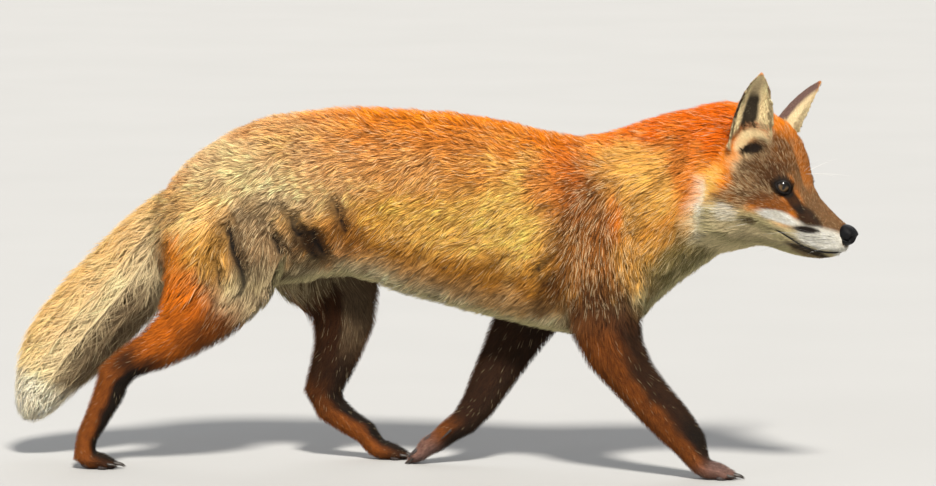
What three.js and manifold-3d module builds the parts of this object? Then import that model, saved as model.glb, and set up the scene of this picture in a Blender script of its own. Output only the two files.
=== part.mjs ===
// A red fox in mid-stride: a still, life-size model of the whole animal, coat included.
// Millimetres. +X is the way the fox walks, +Y its left side, +Z up. The soles stand on z = 0, and the
// origin is the centre of the model's box, on the ground. The right fore paw is landing, the right hind
// paw pushes off behind, the left hind paw has come down under the belly and the left fore paw leaves it.
import * as THREE from "three";
import { mergeVertices } from "three/addons/utils/BufferGeometryUtils.js";
import Module from "manifold-3d";

const wasm = await Module();
wasm.setup();

// ---- Driving dimensions ----
const gap = 0.35; // clearance between neighbouring pieces
const mouthGap = 0.6; // height of the cut along the mouth's line
const clawLift = 0.4; // how far the claws clear the ground
const noseTip = [415, -58, 261.5]; // the front of the nose
const headYaw = -22; // degrees, the head turned to the fox's right
const headPitch = 21; // degrees, nose down
const headRoll = -4; // degrees, the left side lower
const eyeRadius = 8.8;
const eyePlace = { back: -87.5, side: 25.5, up: 16.5 }; // centre of an eyeball in the head's own frame
const earRoot = { back: -131, side: 37, up: 34 }; // middle of an ear's root, in the same frame
const earTips = { right: [-140, -60, 121], left: [-127, 61, 117] };
const earHalfWidth = 21;
const earThickness = 4.5;
const earCurl = 82; // degrees that each side of an ear curls round its axis
const eyeSlot = { forward: 6, outward: 7, up: 1, radii: [10, 8, 6.5], turn: 35 }; // opening between the lids
const earBowl = { place: [-122, 45, 52], radii: [12, 13, 22], turn: 30 }; // hollow at the foot of an ear
const toeRadius = 8;
const clawLength = 11;
const clawRadius = 2.2;

// The torso from the rump to the nape, as ribs: top and bottom of each in the side view, half its width,
// how far its middle lies to the left, and how much wider it is above its middle than below.
const ribs = [
  { top: [-326, 292], bottom: [-336, 236], half: 24, side: 0, egg: 0.0 },
  { top: [-302, 321], bottom: [-322, 206], half: 42, side: 0, egg: 0.0 },
  { top: [-264, 350], bottom: [-286, 192], half: 53, side: 0, egg: 0.02 },
  { top: [-221, 370], bottom: [-240, 186], half: 57, side: 0, egg: 0.04 },
  { top: [-179, 378], bottom: [-186, 192], half: 56, side: 0, egg: 0.06 },
  { top: [-132, 384], bottom: [-126, 201], half: 52, side: 0, egg: 0.06 },
  { top: [-74, 384], bottom: [-76, 184], half: 53, side: 0, egg: 0.05 },
  { top: [-19, 380], bottom: [-16, 169], half: 57, side: 0, egg: 0.04 },
  { top: [34, 373], bottom: [38, 157], half: 60, side: 0, egg: 0.04 },
  { top: [77, 363], bottom: [86, 147], half: 61, side: 0, egg: -0.02 },
  { top: [110, 357], bottom: [134, 142], half: 59, side: 0, egg: -0.06 },
  { top: [136, 358], bottom: [176, 152], half: 57, side: 0, egg: -0.08 },
  { top: [166, 367], bottom: [200, 178], half: 56, side: 0, egg: -0.08 },
  { top: [204, 379], bottom: [226, 201], half: 56, side: -1, egg: -0.06 },
  { top: [240, 388], bottom: [250, 219], half: 55, side: -4, egg: -0.04 },
  { top: [268, 394], bottom: [270, 232], half: 52, side: -8, egg: -0.02 },
  { top: [296, 392], bottom: [290, 246], half: 41, side: -14, egg: 0 },
];

// The head in its own frame, from the nape to the lips: how far behind the nose tip, its top and bottom
// above the nose tip's level, half its width, and the egg shape as above.
const headStations = [
  { back: -184, top: 70, bottom: -70, half: 42, egg: -0.05 },
  { back: -170, top: 77, bottom: -85, half: 55, egg: -0.14 },
  { back: -154, top: 79, bottom: -90, half: 63, egg: -0.24 },
  { back: -138, top: 78, bottom: -86, half: 65, egg: -0.3 },
  { back: -124, top: 76, bottom: -77, half: 61, egg: -0.32 },
  { back: -111, top: 71, bottom: -67, half: 54, egg: -0.3 },
  { back: -99, top: 63, bottom: -59, half: 46.5, egg: -0.26 },
  { back: -88, top: 52, bottom: -55, half: 40, egg: -0.2 },
  { back: -79, top: 39, bottom: -53, half: 34, egg: -0.16 },
  { back: -69, top: 26, bottom: -52, half: 29, egg: -0.12 },
  { back: -56, top: 17, bottom: -50, half: 25, egg: -0.1 },
  { back: -42, top: 11.5, bottom: -46.5, half: 22, egg: -0.08 },
  { back: -29, top: 7, bottom: -42, half: 19, egg: -0.05 },
  { back: -18, top: 4, bottom: -36, half: 15.5, egg: 0 },
  { back: -10, top: 0, bottom: -30, half: 11.5, egg: 0 },
];
const headPower = 2.25; // a little fuller than an ellipse

// The mouth's line in the head's frame, from the lips' front to the corner, then down behind the jaw.
const mouthLine = [
  [-4, -24],
  [-12, -27.5],
  [-28, -33.5],
  [-44, -37],
  [-58, -36.5],
  [-70, -33],
  [-82, -29],
];
const jawBack = [
  [-92, -44],
  [-96, -80],
];

// The nose in the head's frame: how far behind the tip, its level, half its height and half its width.
const noseStations = [
  [-15, -5, 9, 8],
  [-11, -6, 11, 10.5],
  [-7, -6.5, 11, 11],
  [-3.5, -6.5, 9.5, 10],
];

// The cuts that part the torso into rump, belly, chest and neck.
const torsoCuts = [
  { point: [-160, 0, 290], normal: [1, 0, 0.05] },
  { point: [28, 0, 260], normal: [1, 0, -0.08] },
  { point: [158, 0, 262], normal: [1, 0, 0.22] },
];

// The tail, from its root to its white tip: middle, half its depth and half its width.
const tailStations = [
  { at: [-298, 0, 277], deep: 33, wide: 33 },
  { at: [-322, 1, 252], deep: 36, wide: 33 },
  { at: [-349, 4, 221], deep: 41, wide: 35 },
  { at: [-374, 8, 190], deep: 45, wide: 38 },
  { at: [-404, 13, 157], deep: 46, wide: 39 },
  { at: [-431, 17, 126], deep: 43, wide: 37 },
  { at: [-450, 20, 100], deep: 36, wide: 32 },
  { at: [-463, 21, 77], deep: 28, wide: 26 },
  { at: [-471, 21, 60], deep: 20, wide: 19 },
];

// The cuts that part the tail into root, brush and tip.
const tailCuts = [
  { point: [-372, 8, 192], normal: [-0.68, 0.1, -0.73] },
  { point: [-450, 20, 88], normal: [-0.4, 0.03, -0.91] },
];

// The legs above the paws: middle, half the depth fore and aft, half the width.
const foreLegs = {
  right: [
    { at: [120, -24, 322], deep: 34, wide: 14 },
    { at: [130, -35, 290], deep: 46, wide: 20 },
    { at: [144, -42, 244], deep: 52, wide: 23 },
    { at: [148, -44, 200], deep: 48, wide: 24 },
    { at: [151, -44, 160], deep: 42, wide: 24 },
    { at: [162, -44, 130], deep: 34, wide: 22 },
    { at: [179, -43, 106], deep: 28, wide: 19 },
    { at: [199, -42, 82], deep: 26, wide: 17 },
    { at: [222, -41, 57], deep: 24, wide: 16.5 },
    { at: [240, -41, 36], deep: 20, wide: 16 },
  ],
  left: [
    { at: [108, 24, 322], deep: 34, wide: 14 },
    { at: [108, 35, 290], deep: 44, wide: 20 },
    { at: [102, 42, 244], deep: 50, wide: 23 },
    { at: [82, 44, 202], deep: 46, wide: 24 },
    { at: [62, 44, 168], deep: 40, wide: 23 },
    { at: [46, 42, 138], deep: 33, wide: 21 },
    { at: [32, 40, 112], deep: 28, wide: 18 },
    { at: [18, 37, 86], deep: 24, wide: 16 },
    { at: [5, 34, 62], deep: 20, wide: 15 },
    { at: [-9, 32, 45], deep: 16.5, wide: 14.5 },
    { at: [-24, 31, 35], deep: 14, wide: 14.5 },
  ],
};
const hindLegs = {
  right: [
    { at: [-236, -24, 318], deep: 30, wide: 16 },
    { at: [-240, -34, 280], deep: 54, wide: 24 },
    { at: [-244, -40, 238], deep: 66, wide: 28 },
    { at: [-254, -43, 202], deep: 58, wide: 28 },
    { at: [-276, -46, 170], deep: 45, wide: 26 },
    { at: [-302, -49, 144], deep: 32, wide: 22 },
    { at: [-330, -52, 125], deep: 24, wide: 17 },
    { at: [-354, -53, 113], deep: 19.5, wide: 14.5 },
    { at: [-369, -54, 99], deep: 20, wide: 14.5 },
    { at: [-376, -54, 78], deep: 18, wide: 13.5 },
    { at: [-388, -54, 54], deep: 14.5, wide: 13 },
    { at: [-399, -54, 33], deep: 12.5, wide: 13.5 },
  ],
  left: [
    { at: [-222, 24, 314], deep: 28, wide: 16 },
    { at: [-208, 34, 276], deep: 50, wide: 24 },
    { at: [-184, 41, 240], deep: 58, wide: 28 },
    { at: [-158, 45, 210], deep: 55, wide: 27 },
    { at: [-142, 47, 180], deep: 45, wide: 24 },
    { at: [-141, 49, 150], deep: 37, wide: 21 },
    { at: [-147, 52, 120], deep: 29, wide: 17 },
    { at: [-156, 54, 95], deep: 25, wide: 15 },
    { at: [-164, 56, 73], deep: 23, wide: 14.5 },
    { at: [-156, 58, 54], deep: 19, wide: 14 },
    { at: [-138, 59, 40], deep: 15.5, wide: 14 },
    { at: [-119, 60, 28], deep: 14, wide: 14.5 },
  ],
};

// The stations at which each leg is parted, from the top down.
const foreCuts = [4, 8];
const hindCuts = [3, 8, 10];

// Each paw: the ball of the foot, the way its toes point in degrees below straight ahead (past 90 they
// point back, with the pads upwards), the share of toeLengths that its toes have, and half its width.
const toeLengths = [25, 33, 33, 25];
const paws = {
  fore_right: { ball: [257, -41, 10], dip: 8, reach: 1, half: 18 },
  fore_left: { ball: [-44, 30, 21.5], dip: 135, reach: 1, half: 14.5 },
  hind_right: { ball: [-397, -54, 9.3], dip: 5, reach: 0.95, half: 16.5 },
  hind_left: { ball: [-102, 60, 9.5], dip: 6, reach: 0.95, half: 16.5 },
};

// ---- Mesh making ----
const vector = (p) => new THREE.Vector3(...p);
const radians = THREE.MathUtils.degToRad;

// Values between stations: each number in a row runs along a Catmull-Rom curve through its neighbours.
function fillIn(rows, steps) {
  const last = rows.length - 1;
  const filled = [];
  for (let i = 0; i <= last * steps; i++) {
    const k = Math.min(Math.floor(i / steps), last - 1);
    const t = i / steps - k;
    const [p, q, r, s] = [k - 1, k, k + 1, k + 2].map((j) => rows[Math.min(Math.max(j, 0), last)]);
    filled.push(
      q.map((_, n) => {
        const slopeIn = (r[n] - p[n]) / 2;
        const slopeOut = (s[n] - q[n]) / 2;
        const rise = r[n] - q[n];
        return (
          q[n] + t * (slopeIn + t * (3 * rise - 2 * slopeIn - slopeOut + t * (slopeIn + slopeOut - 2 * rise)))
        );
      }),
    );
  }
  return filled;
}

const blunt = 3; // a dome shorter than this is a plain cap

// A closed mesh over rings. A ring has its middle and two half axes, each with its length, and may have an
// egg shape and a power. A dome of the given length closes each end, over rings at the shares of it.
function overRings(rings, segments, domes, shares = [0.5, 0.86]) {
  const first = rings[0];
  const last = rings[rings.length - 1];
  const out = (ring) => new THREE.Vector3().crossVectors(ring.across, ring.up).normalize();
  const dome = (ring, length) =>
    (Math.abs(length) < blunt ? [] : shares).map((share) => ({
      ...ring,
      middle: ring.middle.clone().addScaledVector(out(ring), length * share),
      up: ring.up.clone().multiplyScalar(Math.sqrt(1 - share * share)),
      across: ring.across.clone().multiplyScalar(Math.sqrt(1 - share * share)),
    }));
  const all = [...dome(first, -domes[0]).reverse(), ...rings, ...dome(last, domes[1])];
  const points = [];
  for (const ring of all)
    for (let i = 0; i < segments; i++) {
      const angle = (2 * Math.PI * i) / segments;
      const bend = (v) => Math.sign(v) * Math.abs(v) ** (2 / (ring.power ?? 2));
      const rise = bend(Math.sin(angle));
      const wide = bend(Math.cos(angle)) * (1 + (ring.egg ?? 0) * rise);
      points.push(ring.middle.clone().addScaledVector(ring.up, rise).addScaledVector(ring.across, wide));
    }
  const start = points.push(first.middle.clone().addScaledVector(out(first), -domes[0])) - 1;
  const end = points.push(last.middle.clone().addScaledVector(out(last), domes[1])) - 1;
  const faces = [];
  const at = (r, i) => r * segments + (i % segments);
  for (let i = 0; i < segments; i++) {
    faces.push([start, at(0, i + 1), at(0, i)], [end, at(all.length - 1, i), at(all.length - 1, i + 1)]);
    for (let r = 0; r < all.length - 1; r++)
      faces.push([at(r, i), at(r, i + 1), at(r + 1, i)], [at(r, i + 1), at(r + 1, i + 1), at(r + 1, i)]);
  }
  return solidOf(points, faces);
}

// A manifold-3d solid from points and triangles, turned right side out.
function solidOf(points, faces) {
  const make = (triangles) =>
    new wasm.Manifold(
      new wasm.Mesh({
        numProp: 3,
        vertProperties: new Float32Array(points.flatMap((p) => p.toArray())),
        triVerts: new Uint32Array(triangles.flat()),
      }),
    );
  const made = make(faces);
  return made.volume() > 0 ? made : make(faces.map(([a, b, c]) => [a, c, b]));
}

// A three.js geometry as a solid, for plain cutters.
function solidOfGeometry(geometry) {
  geometry.deleteAttribute("normal");
  geometry.deleteAttribute("uv");
  const merged = mergeVertices(geometry, 1e-4);
  const place = merged.getAttribute("position");
  const pointAt = (_, i) => new THREE.Vector3().fromBufferAttribute(place, i);
  const points = Array.from({ length: place.count }, pointAt);
  const index = merged.index.array;
  const faces = Array.from({ length: index.length / 3 }, (_, i) => [...index.slice(3 * i, 3 * i + 3)]);
  return solidOf(points, faces);
}

// A tube along stations, each ring square to the way it runs; grow makes it fatter all round.
function limb(stations, { steps = 1, segments = 12, domes = [6, 6], shares, grow = 0 } = {}) {
  const rows = fillIn(stations.map((s) => [...s.at, s.deep, s.wide]), steps);
  const middles = rows.map((row) => vector(row.slice(0, 3)));
  const rings = rows.map(([, , , deep, wide], i) => {
    const next = middles[Math.min(i + 1, middles.length - 1)];
    const way = next.clone().sub(middles[Math.max(i - 1, 0)]).normalize();
    const side = new THREE.Vector3(0, 1, 0).addScaledVector(way, -way.y).normalize();
    const front = new THREE.Vector3().crossVectors(way, side);
    return {
      middle: middles[i],
      up: front.multiplyScalar(deep + grow),
      across: side.multiplyScalar(wide + grow),
    };
  });
  return overRings(rings, segments, domes, shares);
}

// The larger body of a cut that leaves slivers.
const mainBody = (solid) => solid.decompose().sort((a, b) => b.volume() - a.volume())[0];

// A big box on the side of a plane that its normal points to.
function halfSpace(point, normal) {
  const size = 2400;
  const box = new THREE.BoxGeometry(size, size, size);
  box.translate(0, 0, size / 2);
  const upright = new THREE.Vector3(0, 0, 1);
  box.applyQuaternion(new THREE.Quaternion().setFromUnitVectors(upright, vector(normal).normalize()));
  box.translate(...point);
  return solidOfGeometry(box);
}

// The solid parted by planes into a row of pieces, with the gap between them.
function partedAt(solid, cuts) {
  const pieces = [];
  let rest = solid;
  for (const { point, normal } of cuts) {
    const away = vector(normal).normalize().multiplyScalar(gap / 2);
    const before = vector(point).sub(away).toArray();
    const after = vector(point).add(away).toArray();
    pieces.push(mainBody(rest.subtract(halfSpace(before, normal))));
    rest = mainBody(rest.intersect(halfSpace(after, normal)));
  }
  return [...pieces, rest];
}

// ---- The torso ----
function torso(grow) {
  const rows = fillIn(ribs.map((r) => [...r.top, ...r.bottom, r.half, r.side, r.egg]), 2);
  const rings = rows.map(([topX, topZ, bottomX, bottomZ, half, side, egg]) => {
    const top = new THREE.Vector3(topX, side, topZ);
    const bottom = new THREE.Vector3(bottomX, side, bottomZ);
    const up = top.clone().sub(bottom).multiplyScalar(0.5);
    return {
      middle: top.add(bottom).multiplyScalar(0.5),
      up: up.multiplyScalar(1 + grow / up.length()),
      across: new THREE.Vector3(0, half + grow, 0),
      egg,
      power: 2.15,
    };
  });
  return overRings(rings, 16, [8 + grow, 12 + grow]);
}

// ---- The head ----
const headFrame = new THREE.Matrix4()
  .makeTranslation(...noseTip)
  .multiply(new THREE.Matrix4().makeRotationZ(radians(headYaw)))
  .multiply(new THREE.Matrix4().makeRotationY(radians(headPitch)))
  .multiply(new THREE.Matrix4().makeRotationX(radians(headRoll)));
const inHead = (back, side, up) => new THREE.Vector3(back, side, up).applyMatrix4(headFrame);
const headWay = (x, y, z) => new THREE.Vector3(x, y, z).transformDirection(headFrame);

function skull(grow) {
  const rings = headStations.map(({ back, top, bottom, half, egg }) => ({
    middle: inHead(back, 0, (top + bottom) / 2),
    up: headWay(0, 0, 1).multiplyScalar((top - bottom) / 2 + grow),
    across: headWay(0, 1, 0).multiplyScalar(half + grow),
    egg,
    power: headPower,
  }));
  return overRings(rings, 16, [10 + grow, 4 + grow]);
}

// An ellipsoid in the head's frame, turned about the head's up axis.
function headBall(place, radii, turn, detail) {
  const ball = new THREE.SphereGeometry(1, ...detail);
  ball.scale(...radii);
  ball.rotateZ(radians(turn));
  ball.translate(...place);
  ball.applyMatrix4(headFrame);
  return solidOfGeometry(ball);
}

function eyeBall(side, grow) {
  const place = [eyePlace.back, side * eyePlace.side, eyePlace.up];
  return headBall(place, Array(3).fill(eyeRadius + grow), 0, [8, 7]);
}

// The opening between the lids, a slot cut through the coat in front of the eyeball.
function eyeOpening(side) {
  const { forward, outward, up, radii, turn } = eyeSlot;
  const place = [eyePlace.back + forward, side * (eyePlace.side + outward), eyePlace.up + up];
  return headBall(place, radii, side * turn, [8, 5]);
}

function earHollow(side) {
  const [back, out, up] = earBowl.place;
  return headBall([back, side * out, up], earBowl.radii, side * earBowl.turn, [8, 5]);
}

// What lies below the mouth's line and ahead of the jaw's angle, lowered by half the cut.
function jawRegion(lower) {
  const outline = [...mouthLine, ...jawBack, [10, -80], [10, -22]];
  const shape = new THREE.Shape(outline.map(([back, up]) => new THREE.Vector2(back, up)));
  const region = new THREE.ExtrudeGeometry(shape, { depth: 140, bevelEnabled: false });
  region.translate(0, -lower, -70);
  region.rotateX(Math.PI / 2);
  region.applyMatrix4(headFrame);
  return solidOfGeometry(region);
}

function nose(grow) {
  const rings = noseStations.map(([back, level, high, half]) => ({
    middle: inHead(back, 0, level),
    up: headWay(0, 0, 1).multiplyScalar(high + grow),
    across: headWay(0, 1, 0).multiplyScalar(half + grow),
    egg: 0.18,
    power: 2.4,
  }));
  return overRings(rings, 10, [1 + grow, 3.5 + grow], [0.75]);
}

// One ear: a pointed cup, a sheet of even thickness curled round its axis and open to the front and side.
function ear(name, side) {
  const root = inHead(earRoot.back, side * earRoot.side, earRoot.up);
  const tip = inHead(...earTips[name]);
  const way = tip.clone().sub(root).normalize();
  const open = headWay(0.62, side * 0.78, 0.0);
  open.addScaledVector(way, -open.dot(way)).normalize();
  const across = new THREE.Vector3().crossVectors(way, open);
  const length = tip.distanceTo(root);
  const rows = 7;
  const columns = 6;
  const curl = radians(earCurl);
  const sheet = (layer) => {
    const points = [];
    for (let r = 0; r <= rows; r++) {
      const height = r / rows;
      const half = earHalfWidth * (1 - height ** 2.4) ** 0.8 + 2.2 - layer * (0.5 + 0.5 * (1 - height));
      const cup = 19 * (1 - height) ** 0.8 + 2.5;
      const lean = 5 * Math.sin(Math.PI * height);
      for (let c = 0; c <= columns; c++) {
        const turn = curl * ((2 * c) / columns - 1);
        const depth = (cup * (Math.cos(turn) - Math.cos(curl))) / (1 - Math.cos(curl));
        points.push(
          root
            .clone()
            .addScaledVector(way, height * length - layer * 1.2 * height)
            .addScaledVector(across, (half * Math.sin(turn)) / Math.sin(curl))
            .addScaledVector(open, -depth - lean + layer * earThickness * (0.55 + 0.45 * Math.cos(turn))),
        );
      }
    }
    return points;
  };
  const back = sheet(0);
  const front = sheet(1);
  const stride = columns + 1;
  const faces = [];
  const quad = (a, b, c, d) => faces.push([a, b, c], [a, c, d]);
  const at = (layer, r, c) => layer * back.length + r * stride + c;
  for (let r = 0; r < rows; r++)
    for (let c = 0; c < columns; c++) {
      quad(at(0, r, c), at(0, r, c + 1), at(0, r + 1, c + 1), at(0, r + 1, c));
      quad(at(1, r, c), at(1, r + 1, c), at(1, r + 1, c + 1), at(1, r, c + 1));
    }
  for (let r = 0; r < rows; r++) {
    quad(at(0, r, 0), at(0, r + 1, 0), at(1, r + 1, 0), at(1, r, 0));
    quad(at(0, r, columns), at(1, r, columns), at(1, r + 1, columns), at(0, r + 1, columns));
  }
  for (let c = 0; c < columns; c++) {
    quad(at(0, 0, c), at(1, 0, c), at(1, 0, c + 1), at(0, 0, c + 1));
    quad(at(0, rows, c), at(0, rows, c + 1), at(1, rows, c + 1), at(1, rows, c));
  }
  return solidOf([...back, ...front], faces);
}

// ---- The paws ----
// The way a leg runs at one of its stations, and a cut across it there.
const wayAt = (stations, k) => vector(stations[k + 1].at).sub(vector(stations[k - 1].at)).toArray();
const cutAt = (stations, k) => ({ point: stations[k].at, normal: wayAt(stations, k) });
const ground = halfSpace([0, 0, 0], [0, 0, 1]);
const aboveGround = halfSpace([0, 0, clawLift], [0, 0, 1]);

// A paw's own frame: its ball, with x the way the toes point and z up from the back of the foot.
function pawFrame({ ball, dip }) {
  const turned = new THREE.Matrix4().makeRotationY(radians(dip));
  return new THREE.Matrix4().makeTranslation(...ball).multiply(turned);
}

function toeStations(paw, number) {
  const frame = pawFrame(paw);
  const side = (number - 1.5) / 1.5;
  const length = toeLengths[number] * paw.reach;
  const spread = paw.half - toeRadius + 0.5;
  const place = (forward, across, up) => new THREE.Vector3(forward, across, up).applyMatrix4(frame).toArray();
  return [
    { at: place(0, side * spread * 0.8, 1), deep: toeRadius, wide: toeRadius * 0.85 },
    { at: place(length * 0.45, side * spread * 0.98, 1.5), deep: toeRadius * 1.0, wide: toeRadius * 0.88 },
    { at: place(length * 0.82, side * spread * 1.08, -2.5), deep: toeRadius * 0.86, wide: toeRadius * 0.78 },
  ];
}

// The sole's stations, which carry the leg's on to the roots of the toes.
function soleStations(paw) {
  const place = (forward, up) => new THREE.Vector3(forward, 0, up).applyMatrix4(pawFrame(paw)).toArray();
  return [
    { at: place(-6, 3), deep: 12, wide: paw.half * 0.95 },
    { at: place(4, 0), deep: 11.5, wide: paw.half },
    { at: place(14, -1), deep: 9, wide: paw.half * 0.9 },
  ];
}

// A curved claw out of a toe's end, or out of the side of the leg for a dew claw.
function claw(root, along, down) {
  const rings = [0, 0.5].map((share) => {
    const middle = root
      .clone()
      .addScaledVector(along, share * clawLength)
      .addScaledVector(down, share * share * 3.2);
    const radius = clawRadius * (1 - 0.62 * share);
    const across = new THREE.Vector3().crossVectors(along, down).normalize();
    const up = new THREE.Vector3().crossVectors(along, across);
    return { middle, up: up.multiplyScalar(radius * 1.25), across: across.multiplyScalar(radius) };
  });
  return overRings(rings, 4, [1, clawLength * 0.5], []);
}

// The dew claw, on the inner side of a fore leg just above the paw.
function dewClaw(stations, side) {
  const { at, wide } = stations[stations.length - 1];
  const inward = side === "right" ? 1 : -1;
  const way = wayAt(stations, stations.length - 2);
  const along = vector(way).normalize().addScaledVector(new THREE.Vector3(0, inward, 0), 0.25).normalize();
  const root = vector(at).addScaledVector(new THREE.Vector3(0, inward, 0), wide - 1.5);
  return claw(root, along, new THREE.Vector3(0, -inward, 0));
}

// ---- Colours and the group ----
const coat = (colour) => new THREE.MeshStandardMaterial({ color: colour, roughness: 0.85, metalness: 0 });
const looks = {
  redCoat: coat(0xc4651f),
  sandyCoat: coat(0xc98f4e),
  darkCoat: coat(0x4a2f1f),
  paleCoat: coat(0xd9cdb6),
  nose: new THREE.MeshStandardMaterial({ color: 0x141213, roughness: 0.45, metalness: 0 }),
  eye: new THREE.MeshStandardMaterial({ color: 0x8a6434, roughness: 0.08, metalness: 0 }),
  claw: new THREE.MeshStandardMaterial({ color: 0x2c241f, roughness: 0.5, metalness: 0 }),
};
const fox = new THREE.Group();

function addPiece(name, solid, look) {
  const { numProp, vertProperties, triVerts } = solid.getMesh();
  const place = new Float32Array((vertProperties.length / numProp) * 3);
  for (let i = 0; i < place.length / 3; i++)
    place.set(vertProperties.subarray(i * numProp, i * numProp + 3), i * 3);
  const geometry = new THREE.BufferGeometry()
    .setAttribute("position", new THREE.BufferAttribute(place, 3))
    .setIndex(new THREE.BufferAttribute(triVerts, 1));
  geometry.computeVertexNormals();
  const mesh = new THREE.Mesh(geometry, looks[look]);
  mesh.name = name;
  fox.add(mesh);
}

// ---- Head and neck ----
const headGap = skull(gap);
let hollows = nose(gap);
for (const side of [-1, 1])
  for (const hollow of [eyeBall(side, gap), eyeOpening(side), earHollow(side)]) hollows = hollows.add(hollow);
const head = mainBody(skull(0).subtract(jawRegion(0)).subtract(hollows));
const jaw = mainBody(skull(0).intersect(jawRegion(mouthGap)).subtract(nose(gap)));
addPiece("head", head, "redCoat");
addPiece("jaw", jaw, "paleCoat");
addPiece("nose", nose(0), "nose");
for (const [name, side] of [["right", -1], ["left", 1]]) {
  addPiece(`eye_${name}`, eyeBall(side, 0), "eye");
  addPiece(`ear_${name}`, mainBody(ear(name, side).subtract(headGap).subtract(torso(gap))), "darkCoat");
}

const [rump, belly, chest, neck] = partedAt(torso(0), torsoCuts);
addPiece("rump", rump, "sandyCoat");
addPiece("belly", belly, "redCoat");
addPiece("chest", chest, "redCoat");
addPiece("neck", mainBody(neck.subtract(headGap)), "redCoat");

// ---- Tail ----
const body = torso(gap);
const wholeTail = (grow) => limb(tailStations, { segments: 12, domes: [2, 22], grow });
const tail = mainBody(wholeTail(0).subtract(body));
const [tailRoot, tailBrush, tailTip] = partedAt(tail, tailCuts);
addPiece("tail_root", tailRoot, "sandyCoat");
addPiece("tail_brush", tailBrush, "sandyCoat");
addPiece("tail_tip", tailTip, "paleCoat");

// ---- Legs ----
function addLeg(kind, side, stations, cuts, names, cutters) {
  const label = `${kind}leg_${side}`;
  const paw = paws[`${kind}_${side}`];
  const whole = limb([...stations, ...soleStations(paw)], { segments: 10, domes: [8, 2], shares: [0.7] });
  const clear = mainBody(cutters.reduce((left, cutter) => left.subtract(cutter), whole));
  const pieces = partedAt(clear, cuts.map((k) => cutAt(stations, k)));
  let foot = pieces.pop();
  pieces.forEach((piece, n) => addPiece(`${label}_${names[n]}`, piece, n ? "darkCoat" : "redCoat"));
  const along = new THREE.Vector3(1, 0, -0.12).transformDirection(pawFrame(paw));
  const down = new THREE.Vector3(0, 0, -1).transformDirection(pawFrame(paw));
  const toes = toeLengths.map((_, n) => toeStations(paw, n));
  for (const toe of toes) foot = foot.add(limb(toe, { segments: 6, domes: [2, 5], shares: [0.75] }));
  foot = foot.intersect(ground);
  const nails = toes.map((toe) => {
    const root = vector(toe[2].at).addScaledVector(along, 3.4).addScaledVector(down, -1.2);
    return claw(root, along, down);
  });
  if (kind === "fore") nails.push(dewClaw(stations, side));
  nails.forEach((nail, n) => {
    const name = `claw_${kind}_${side}_${n + 1}`;
    addPiece(name, mainBody(nail.subtract(foot).intersect(aboveGround)), "claw");
    foot = foot.subtract(nail);
  });
  addPiece(`${label}_paw`, mainBody(foot), "darkCoat");
}

const foreNames = ["shoulder", "forearm"];
const hindNames = ["thigh", "shank", "metatarsus"];
for (const side of ["right", "left"]) {
  addLeg("fore", side, foreLegs[side], foreCuts, foreNames, [body, headGap]);
  addLeg("hind", side, hindLegs[side], hindCuts, hindNames, [body, wholeTail(gap)]);
}

// The origin is moved to the centre of the model's box, on the ground.
const box = new THREE.Box3().setFromObject(fox);
const centre = box.getCenter(new THREE.Vector3());
for (const piece of fox.children) piece.geometry.translate(-centre.x, -centre.y, -box.min.z);

export default fox;
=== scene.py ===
import math

import bmesh
import bpy
import numpy as np
from mathutils import Matrix, Vector
from mathutils.bvhtree import BVHTree
from mathutils.kdtree import KDTree


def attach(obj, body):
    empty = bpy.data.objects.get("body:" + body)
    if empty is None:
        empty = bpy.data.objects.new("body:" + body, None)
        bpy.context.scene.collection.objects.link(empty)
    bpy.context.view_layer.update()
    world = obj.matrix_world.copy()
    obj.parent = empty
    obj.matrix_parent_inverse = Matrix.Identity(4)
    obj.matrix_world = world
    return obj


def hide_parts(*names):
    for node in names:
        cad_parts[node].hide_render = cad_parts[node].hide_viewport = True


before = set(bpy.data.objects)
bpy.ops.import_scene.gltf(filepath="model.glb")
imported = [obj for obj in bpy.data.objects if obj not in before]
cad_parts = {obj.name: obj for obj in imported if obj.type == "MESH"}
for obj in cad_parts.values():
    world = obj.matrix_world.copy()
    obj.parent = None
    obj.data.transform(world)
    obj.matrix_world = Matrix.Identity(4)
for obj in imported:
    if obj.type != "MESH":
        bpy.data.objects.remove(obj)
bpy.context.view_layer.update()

coatSeed = 11
chance = np.random.default_rng(coatSeed)
scene = bpy.context.scene

# Lengths in the tables are millimetres in the stride's own frame: x forward, y to the fox's left, z up.
strideShift = np.array([37.913, -0.165, 0.0])
headPose = {"noseTip": (415, -58, 261.5), "yaw": -22, "pitch": 21, "roll": -4}
sideWords = {-1: "Right", 1: "Left"}


def metres(places):
    return (np.asarray(places, float) + strideShift) / 1000


def stride(points):
    return np.asarray(points) * 1000 - strideShift


def turned(degrees, axis):
    return np.array(Matrix.Rotation(math.radians(degrees), 3, axis))


headTurn = turned(headPose["yaw"], "Z") @ turned(headPose["pitch"], "Y") @ turned(headPose["roll"], "X")


def toHead(points):  # millimetres from the nose's tip: forward, left, up in the head's own frame
    return (stride(points) - headPose["noseTip"]) @ headTurn


def fromHead(places):
    return metres(np.asarray(places, float) @ headTurn.T + headPose["noseTip"])


def unit(v):
    return v / np.maximum(np.linalg.norm(v, axis=-1, keepdims=True), 1e-12)


def flattened(ways, normal):  # the ways, laid flat on the surface
    return unit(ways - normal * (ways * normal).sum(1, keepdims=True))


def swung(way, normal, turn):
    return unit(way * np.cos(turn)[:, None] + np.cross(normal, way) * np.sin(turn)[:, None])


def ease(low, high, x):
    t = np.clip((x - low) / (high - low), 0, 1)
    return t * t * (3 - 2 * t)


def hill(x, middle, width):
    return np.exp(-(((x - middle) / width) ** 2))


def blend(a, b, share):
    return a + (b - a) * share


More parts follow.
